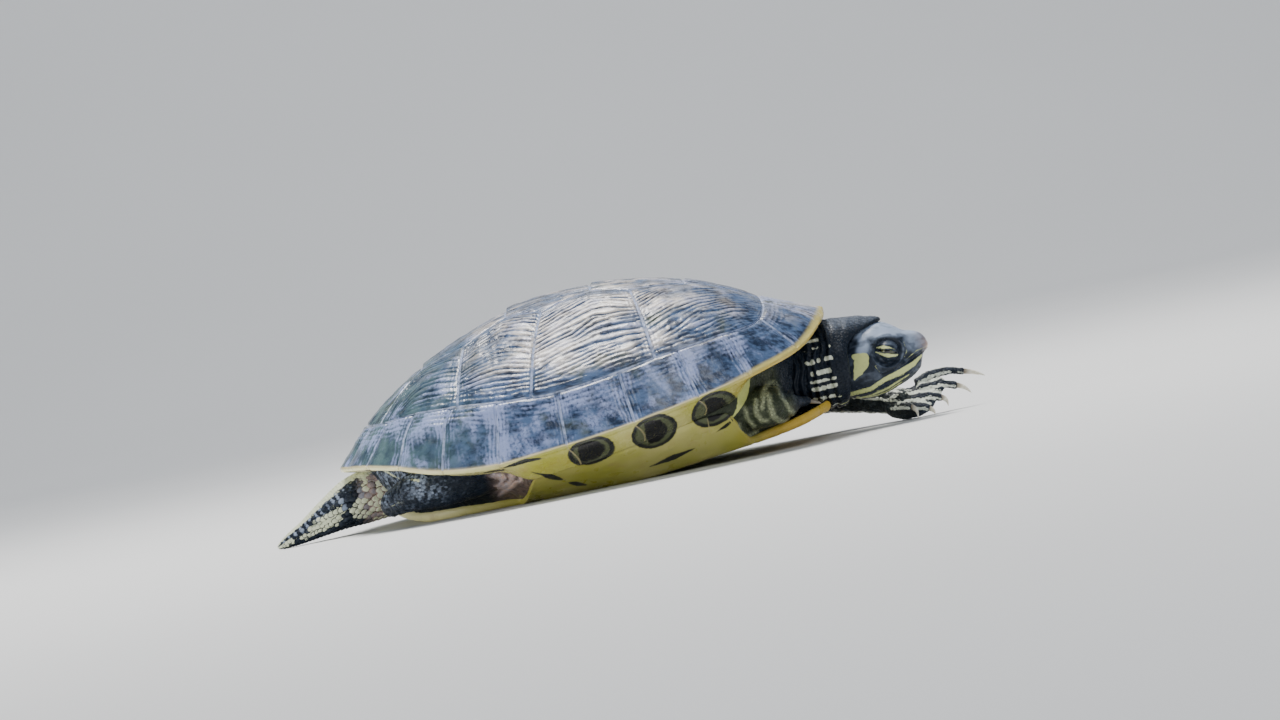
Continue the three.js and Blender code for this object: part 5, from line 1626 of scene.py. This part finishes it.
# Lines that the scales of neck, head and pockets lie along, from where they start to where they point.
NECK_LINE = [([(106, 0, 27, 16, 16), (60, 0, 27, 18, 16)], UP)]
BAND_LINE = [([(WIDEST_X, 0, 44, 80, 60), (WIDEST_X, 0, 0, 80, 60)], (1, 0, 0))]
# Steps between rows of scales at the tail's base and at its tip, and how far the scales stand out.
TAIL_COATS = {"belt": ((1.9, 0.9), False, 0.16), "knobs": ((3.3, 1.2), True, 0.9)}


def limb_lines(limb):
    """The paths of a limb's upper part, foot and digits, with their sizes and which way they lean."""
    digits = [[(*p, limb["wide"], limb["tall"]) for p in points] for points, _ in limb["digits"]]
    return [(limb["path"], UP), *((line, limb["lean"]) for line in (limb["palm"], *digits))]


def along_lines(points, lines):
    """For each point its nearest line, the share of the way along, the angle round it and its heading."""
    everyone = np.arange(len(points))
    best = np.full(len(points), np.inf)
    which, share, angle = np.zeros((3, len(points)))
    heading = np.zeros((len(points), 3))
    for k, (stations, lean) in enumerate(lines):
        frames = frames_along(stations, 30, lean)
        centre, forward, _, _, size = frames
        gap = distances(points, centre) / size.mean(axis=1)
        i, _, beside, above = nearest_frame(points, frames, gap)
        near = gap[everyone, i]
        closer = near < best
        best = np.where(closer, near, best)
        which = np.where(closer, k, which)
        share = np.where(closer, i / (len(centre) - 1), share)
        angle = np.where(closer, np.arctan2(above, beside), angle)
        heading = np.where(closer[:, None], forward[i], heading)
    return which.astype(int), share, angle, heading


def scattered(points, faces, spacing_at, seed):
    """Places on a surface no two of which are nearer than the spacing there, and those spacings.

    spacing_at takes places on the surface and its normals there."""
    rng = np.random.default_rng(seed)
    corner = points[faces]
    cross = np.cross(corner[:, 2] - corner[:, 0], corner[:, 3] - corner[:, 1])
    spacing = spacing_at(corner.mean(axis=1), mesh_normals(points, faces)[faces].mean(axis=1))
    expected = TRIES * np.linalg.norm(cross, axis=1) / 2 / spacing ** 2
    chosen = rng.choice(len(faces), size=int(expected.sum()), p=expected / expected.sum())
    u, v = rng.random((2, len(chosen), 1))
    corner = corner[chosen]
    places = lerp(lerp(corner[:, 0], corner[:, 1], u), lerp(corner[:, 3], corner[:, 2], u), v)
    tree = KDTree(len(places))
    for i, place in enumerate(places.tolist()):
        tree.insert(place, i)
    tree.balance()
    free = np.ones(len(places), bool)
    kept = []
    for i, (place, room) in enumerate(zip(places.tolist(), spacing[chosen].tolist())):
        if free[i]:
            kept.append(i)
            free[[j for _, j, _ in tree.find_range(place, room)]] = False
    return places[kept], spacing[chosen][kept]


def tail_rows(steps, below):
    """Rows of places round the tail below its belt or above, every other row shifted, and their spacing."""
    rng = np.random.default_rng(15)
    centre, _, sideways, upwards, size = frames_along(TAIL_PATH, 240, UP)
    run = distance_run(centre)
    places, spacing = [], []
    at = run[-1] * 0.1
    while at < run[-1] - 0.5:
        step = lerp(*steps, at / run[-1])
        i = np.searchsorted(run, at)
        count = max(int(2 * np.pi * size[i].mean() / step), 5)
        shuffle = 0.5 * (len(places) % 2) + rng.uniform(-0.24, 0.24, count)
        turn = (2 * np.pi / count * (np.arange(count) + shuffle))[:, None]
        ring = sideways[i] * size[i, 0] * np.cos(turn) + upwards[i] * size[i, 1] * np.sin(turn)
        ring = ring[(np.sin(turn[:, 0]) < BELT_FOOT) == below]
        places.append(centre[i] + ring * FLESH_SHARE)
        spacing.append(np.full(len(ring), step))
        at += 0.85 * step
    return np.concatenate(places), np.concatenate(spacing)


def scale_outline():
    """A scale in plan, of width 1, with its tip towards +X: two rings, its crown and its hidden foot."""
    turn = full_turn(SCALE_SIDES)
    c, s = np.cos(turn), np.sin(turn)
    ring = np.stack([0.8 * c, 0.6 * s * (1 - 0.16 * c)], axis=1)
    return np.concatenate([ring, 0.62 * ring + (0.08, 0), [(0.1, 0), (0, 0)]])


def scale_heights(lift):
    """Height over the skin of each point of the outline, for scales whose tips are lifted."""
    tipward = (1 + np.cos(full_turn(SCALE_SIDES))) / 2
    return np.concatenate([
        lerp(-SCALE_SUNK, 0.55 * lift, tipward), lerp(0.3 * lift, lift, tipward), 0.85 * lift,
        np.full_like(lift, -SCALE_FOOT),
    ], axis=1)


def scale_faces():
    """The triangles that close a scale."""
    k = np.arange(SCALE_SIDES)
    after = (k + 1) % SCALE_SIDES
    inner, inner_after = k + SCALE_SIDES, after + SCALE_SIDES
    crown, foot = np.full((2, SCALE_SIDES), [[2 * SCALE_SIDES], [2 * SCALE_SIDES + 1]])
    return np.concatenate([np.stack(corners, axis=1) for corners in (
        (k, after, inner_after), (k, inner_after, inner), (inner, inner_after, crown), (after, k, foot))])


def make_scales(name, region, lines, places, spacing, lift, material, seed, fine=False, outline_shade=0.3):
    """Overlapping closed scales on a region, each a low dome whose root is sunk and whose tip is free.

    Each takes the marks at its root, or at every one of its points if fine. outline_shade says by how many
    millimetres the pale marks shrink at its outline, as painted shade between the scales."""
    points, faces, marks = region
    rng = np.random.default_rng(seed)
    count = len(places)
    normals = mesh_normals(points, faces)
    tree = BVHTree.FromPolygons(points.tolist(), faces.tolist())

    def settle(at):
        """The nearest places on the surface, and its normals there."""
        hits = [tree.find_nearest(p) for p in at.reshape(-1, 3).tolist()]
        normal = unit(normals[faces[[hit[2] for hit in hits]]].mean(axis=1))
        return np.array([hit[0] for hit in hits]).reshape(at.shape), normal.reshape(at.shape)

    middle, out = settle(places)
    which, share, angle, heading = along_lines(middle, lines)
    ahead = heading + 0.16 * rng.standard_normal((count, 3))
    ahead = unit(ahead - out * (ahead * out).sum(axis=1, keepdims=True))
    aside = np.cross(out, ahead)
    outline = scale_outline()
    size = (spacing * rng.uniform(0.92, 1.08, count))[:, None, None]
    flat = middle[:, None] + size * (ahead[:, None] * outline[:, :1] + aside[:, None] * outline[:, 1:])
    flat, normal = settle(flat)
    height = scale_heights(np.broadcast_to(lift, count)[:, None])
    solid = above_floor(flat + normal * height[..., None])
    triangles = scale_faces()[None] + (np.arange(count) * len(outline))[:, None, None]

    sampled = flat if fine else np.broadcast_to(middle[:, None], flat.shape)
    look = {key: value.reshape(flat.shape[:2]) for key, value in marks(sampled.reshape(-1, 3)).items()}
    # painted shade: pale marks shrink at each scale's outline
    look["light"][:, :SCALE_SIDES] -= outline_shade
    look["tone"] += rng.uniform(-0.05, 0.07, (count, 1))
    # outline darker as painted shade, ring and crown paler as painted highlight
    look["tone"] *= np.repeat(SCALE_PAINTED_SHADING, [SCALE_SIDES, SCALE_SIDES, 1, 1])
    shape = Shape()
    shape.add(solid, triangles.reshape(-1, 3), **{key: value.ravel() for key, value in look.items()})
    strip = (which + 0.5 + 0.45 * angle / np.pi) / len(lines)
    home = np.stack([lerp(0.02, 0.98, share), strip], axis=1)
    unwrap = home[:, None] + SCALE_PATCH * 0.5 * outline
    build_mesh(name, shape, material, unwrap=unwrap.reshape(-1, 2))


def limb_spacing(name):
    """How far apart a limb's scales lie, as a function of place."""
    def spacing_at(at, _):
        hidden = shell_place(at[:, 0], at[:, 1])[0] < HIDDEN_SHARE
        part = np.minimum(along_lines(at, limb_lines(LIMBS[name]))[0], 2)
        return np.where(hidden, np.inf, np.array(LIMB_SCALES[name][0])[part])
    return spacing_at


def neck_spacing(at, _):
    return np.where(at[:, 0] > 68, 1.1, np.inf)


def throat_spacing(_, normal):
    return np.where(normal[:, 2] < -0.55, 0.75, np.inf)


def pocket_spacing(at, _):
    x, y, z = at.T
    shown = (shell_place(x, y)[0] > HIDDEN_SHARE) & ((ahead_of_bridge(at) > 0.6) | (x < -36)) & (z < 40)
    return np.where(shown, 1.2, np.inf)


def coat(regions):
    """The scales of every region of the skin."""
    material = skin_material("turtle_scales", 0.05)

    def scattered_coat(name, region, lines, spacing_at, lift, seed, fine):
        points, faces, _ = regions[region]
        places, spacing = scattered(points, faces, spacing_at, seed)
        make_scales(f"scales_{name}", regions[region], lines, places, spacing, lift, material, seed, fine)

    for seed, (name, (_, lift)) in enumerate(LIMB_SCALES.items()):
        fine = name == "forefoot_right"
        scattered_coat(name, name, limb_lines(LIMBS[name]), limb_spacing(name), lift, seed, fine)
    for seed, (name, (steps, below, stand)) in enumerate(TAIL_COATS.items(), 10):
        places, spacing = tail_rows(steps, below)
        # the knobs below the belt get a wide painted shade at their outlines
        make_scales(f"scales_tail_{name}", regions["tail"], [(TAIL_PATH, UP)], places, spacing,
                    stand * spacing / steps[0], material, seed, outline_shade=3.2 if below else 0.3)
    scattered_coat("neck", "neck", NECK_LINE, neck_spacing, 0.08, 12, True)
    scattered_coat("throat", "head", NECK_LINE, throat_spacing, 0.06, 13, False)
    scattered_coat("pockets", "flesh", BAND_LINE, pocket_spacing, 0.09, 14, True)


# ---------- eyes ----------
IRIS_DARK, IRIS_PALE = (0.05, 0.07, 0.02), (0.32, 0.36, 0.10)
PUPIL_BLACK = (0.004, 0.004, 0.004)


def eye_material():
    m = Material("eye_surface", 0.12, coat=0.5)
    iris = m.mix(m.span(m.noise(0.5, 4), 0.35, 0.65), IRIS_DARK, IRIS_PALE)
    return m.finish(m.mix(m.span(m.value("pupil"), 0.0, 0.35), iris, PUPIL_BLACK))


def make_eyes():
    """Eyeballs with a raised cornea: a dark pupil in a yellow-green iris with a dark bar through it."""
    material = eye_material()
    rings, around = 40, 64
    polar = np.linspace(0.001, np.pi, rings)[:, None]
    turn = full_turn(around)[None, :]
    radius = EYE_RADIUS * (1 + 0.05 * bump(polar, 0.45)) - 0.02
    a, b = radius * np.sin(polar) * np.cos(turn), radius * np.sin(polar) * np.sin(turn)
    x = EYE_AT[0] + a * math.cos(SLIT_TILT) - b * math.sin(SLIT_TILT)
    z = EYE_AT[2] + a * math.sin(SLIT_TILT) + b * math.cos(SLIT_TILT)
    pupil = np.maximum(1.25 - np.hypot(a, b), 0.45 - np.abs(b))
    white = np.hypot(a, b) - 2.9
    faces = grid_faces(rings, around, closed=True)
    for name, side in (("right", -1), ("left", 1)):
        y = side * (EYE_AT[1] + radius * np.cos(polar))
        shape = Shape()
        shape.add(xyz(x, y, z), faces[:, ::side], pupil=np.maximum(pupil, white))
        build_mesh(f"eyeball_{name}", shape, material, [f"eye_{name}"])


# ---------- claws ----------
CLAW_DUSKY = (0.12, 0.085, 0.05)
CLAW_HORN, CLAW_PALE = (0.62, 0.57, 0.42), (0.78, 0.76, 0.66)
CLAW_RINGS, CLAW_SIDES = 22, 18


def claw_material():
    m = Material("claw_horn", 0.3, coat=0.3)
    horn = m.mix(m.span(m.noise(0.6, 3, stretch=(0.3, 1, 1)), 0.35, 0.65), CLAW_HORN, CLAW_PALE)
    root = m.mix(m.span(m.value("root"), 0.0, 0.45), CLAW_DUSKY, horn)
    # painted shade for the claws of the foot in the pocket
    dusky = m.mix(m.value("dusky"), root, CLAW_DUSKY)
    return m.finish(dusky, Normal=m.bump(m.noise(0.4, 2, stretch=(0.2, 1, 1)), 0.03))


def claw_rings(digit, tip, width):
    """Rings of a claw that curves down from the end of a digit to its tip."""
    before, end, point = (np.array(p, float) for p in (*digit[-2:], tip))
    forward = unit(end - before)
    root = end - forward * 0.5
    knee = end + forward * (0.35 + np.linalg.norm(point - end) * 0.45)
    t = np.linspace(0, 1, CLAW_RINGS)[:, None]
    centre = (1 - t) ** 2 * root + 2 * t * (1 - t) * knee + t ** 2 * point
    ahead = unit(np.gradient(centre, axis=0))
    sideways = unit(np.cross(ahead, (1, 0, 0) if abs(forward[2]) > 0.9 else UP))
    size = width * (1 - t ** 1.3) ** 0.75 * 0.98 + 0.03
    return rings_round(centre, sideways, np.cross(sideways, ahead), size * (0.82, 1), CLAW_SIDES)


def make_claws():
    """A curved, tapering claw on every digit, one piece for each foot."""
    material = claw_material()
    root = np.repeat(np.r_[0, np.linspace(0, 1, CLAW_RINGS), 1], CLAW_SIDES)
    for name, limb in LIMBS.items():
        shape = Shape()
        for digit, tip in limb["digits"]:
            rings = above_floor(claw_rings(digit, tip, limb["claw"]))
            # painted shade: the claws of the foot folded into the pocket are darkened
            shape.add(*closed_tube(rings), root=root, dusky=0.85 * (name == "forefoot_right"))
        nodes = [f"{name}_claw_{i + 1}" for i in range(len(limb["digits"]))]
        build_mesh(f"claws_{name}", shape, material, nodes)


# ---------- room, light and camera ----------
PAPER_DARK, PAPER_PALE = (0.72, 0.73, 0.74), (0.75, 0.76, 0.77)
AIR_COLOUR, AIR_STRENGTH = (0.74, 0.84, 1.0, 1), 0.28
FLOOR_HALF = 6.0  # half width of the floor, in metres
FLOOR_END, FLOOR_CURVE = 2.4, 2.0  # where it begins to curve up, and the radius of the curve
SUBJECT, BACKDROP = (0, 0, 0.03), (0, 3.6, 0.4)
# Name, place, aim, diameter, power and colour of each light.
LIGHTS = [
    ("key", (-0.1, 0.15, 1.3), SUBJECT, 0.55, 27, (1.0, 0.97, 0.92)),
    ("front", (0.6, -1.3, 0.9), SUBJECT, 0.7, 6, (0.95, 0.97, 1.0)),
    ("rear", (-0.95, -0.9, 0.15), SUBJECT, 0.4, 6, (1.0, 0.97, 0.92)),
    ("backdrop", (0, 1.7, 3.0), BACKDROP, 2.4, 70, (1.0, 0.99, 0.97)),
]


def studio():
    """A pale seamless floor that curves up into a lit backdrop well behind the animal."""
    m = Material("studio_paper", 0.9, specular=0.2)
    paper = m.finish(m.mix(m.noise(300, 1), PAPER_DARK, PAPER_PALE))
    turns = np.linspace(0, math.pi / 2, 90)
    curve = [(FLOOR_END + FLOOR_CURVE * math.sin(a), FLOOR_CURVE * (1 - math.cos(a))) for a in turns]
    profile = [(-FLOOR_HALF, 0), *curve, (FLOOR_END + FLOOR_CURVE, FLOOR_HALF)]
    points = [(x, y, z) for x in (-FLOOR_HALF, FLOOR_HALF) for y, z in profile]
    mesh = bpy.data.meshes.new("studio_floor")
    mesh.from_pydata(points, [], grid_faces(2, len(profile)).tolist())
    mesh.polygons.foreach_set("use_smooth", np.ones(len(mesh.polygons), bool))
    mesh.materials.append(paper)
    linked("studio_floor", mesh)


def lighting():
    """Soft lights, and the air's own faint light."""
    world = bpy.data.worlds.new("studio_air")
    world.use_nodes = True
    air = world.node_tree.nodes["Background"]
    air.inputs["Color"].default_value = AIR_COLOUR
    air.inputs["Strength"].default_value = AIR_STRENGTH
    bpy.context.scene.world = world
    for name, place, aim, size, power, colour in LIGHTS:
        data = bpy.data.lights.new(name, "AREA")
        data.shape = "DISK"
        data.size = size
        data.energy = power
        data.color = colour
        light = linked(name, data)
        light.location = place
        light.rotation_euler = (Vector(aim) - Vector(place)).to_track_quat("-Z", "Y").to_euler()


CAMERA_ROLL = math.radians(11.5)  # the animal climbs to the right in the picture
CAMERA_RISE = math.radians(0.7)
CAMERA_DISTANCE = 1.6
PICTURE_WIDTH = 0.4845  # width of the picture at the animal
PICTURE_MIDDLE = (0.0095, 0.043)  # x and z in the middle of the picture
SENSOR = 36.0


def camera():
    data = bpy.data.cameras.new("camera")
    data.sensor_width = SENSOR
    data.lens = SENSOR * CAMERA_DISTANCE / PICTURE_WIDTH
    made = linked("camera", data)
    back = Vector((0, -math.cos(CAMERA_RISE), math.sin(CAMERA_RISE)))
    turn = (-back).to_track_quat("-Z", "Y").to_matrix() @ Matrix.Rotation(-CAMERA_ROLL, 3, "Z")
    aim = Vector((PICTURE_MIDDLE[0], 0, PICTURE_MIDDLE[1]))
    made.matrix_world = Matrix.Translation(aim + back * CAMERA_DISTANCE) @ turn.to_4x4()
    bpy.context.scene.camera = made


studio()
lighting()
camera()
make_shell()
coat(make_skin())
make_eyes()
make_claws()
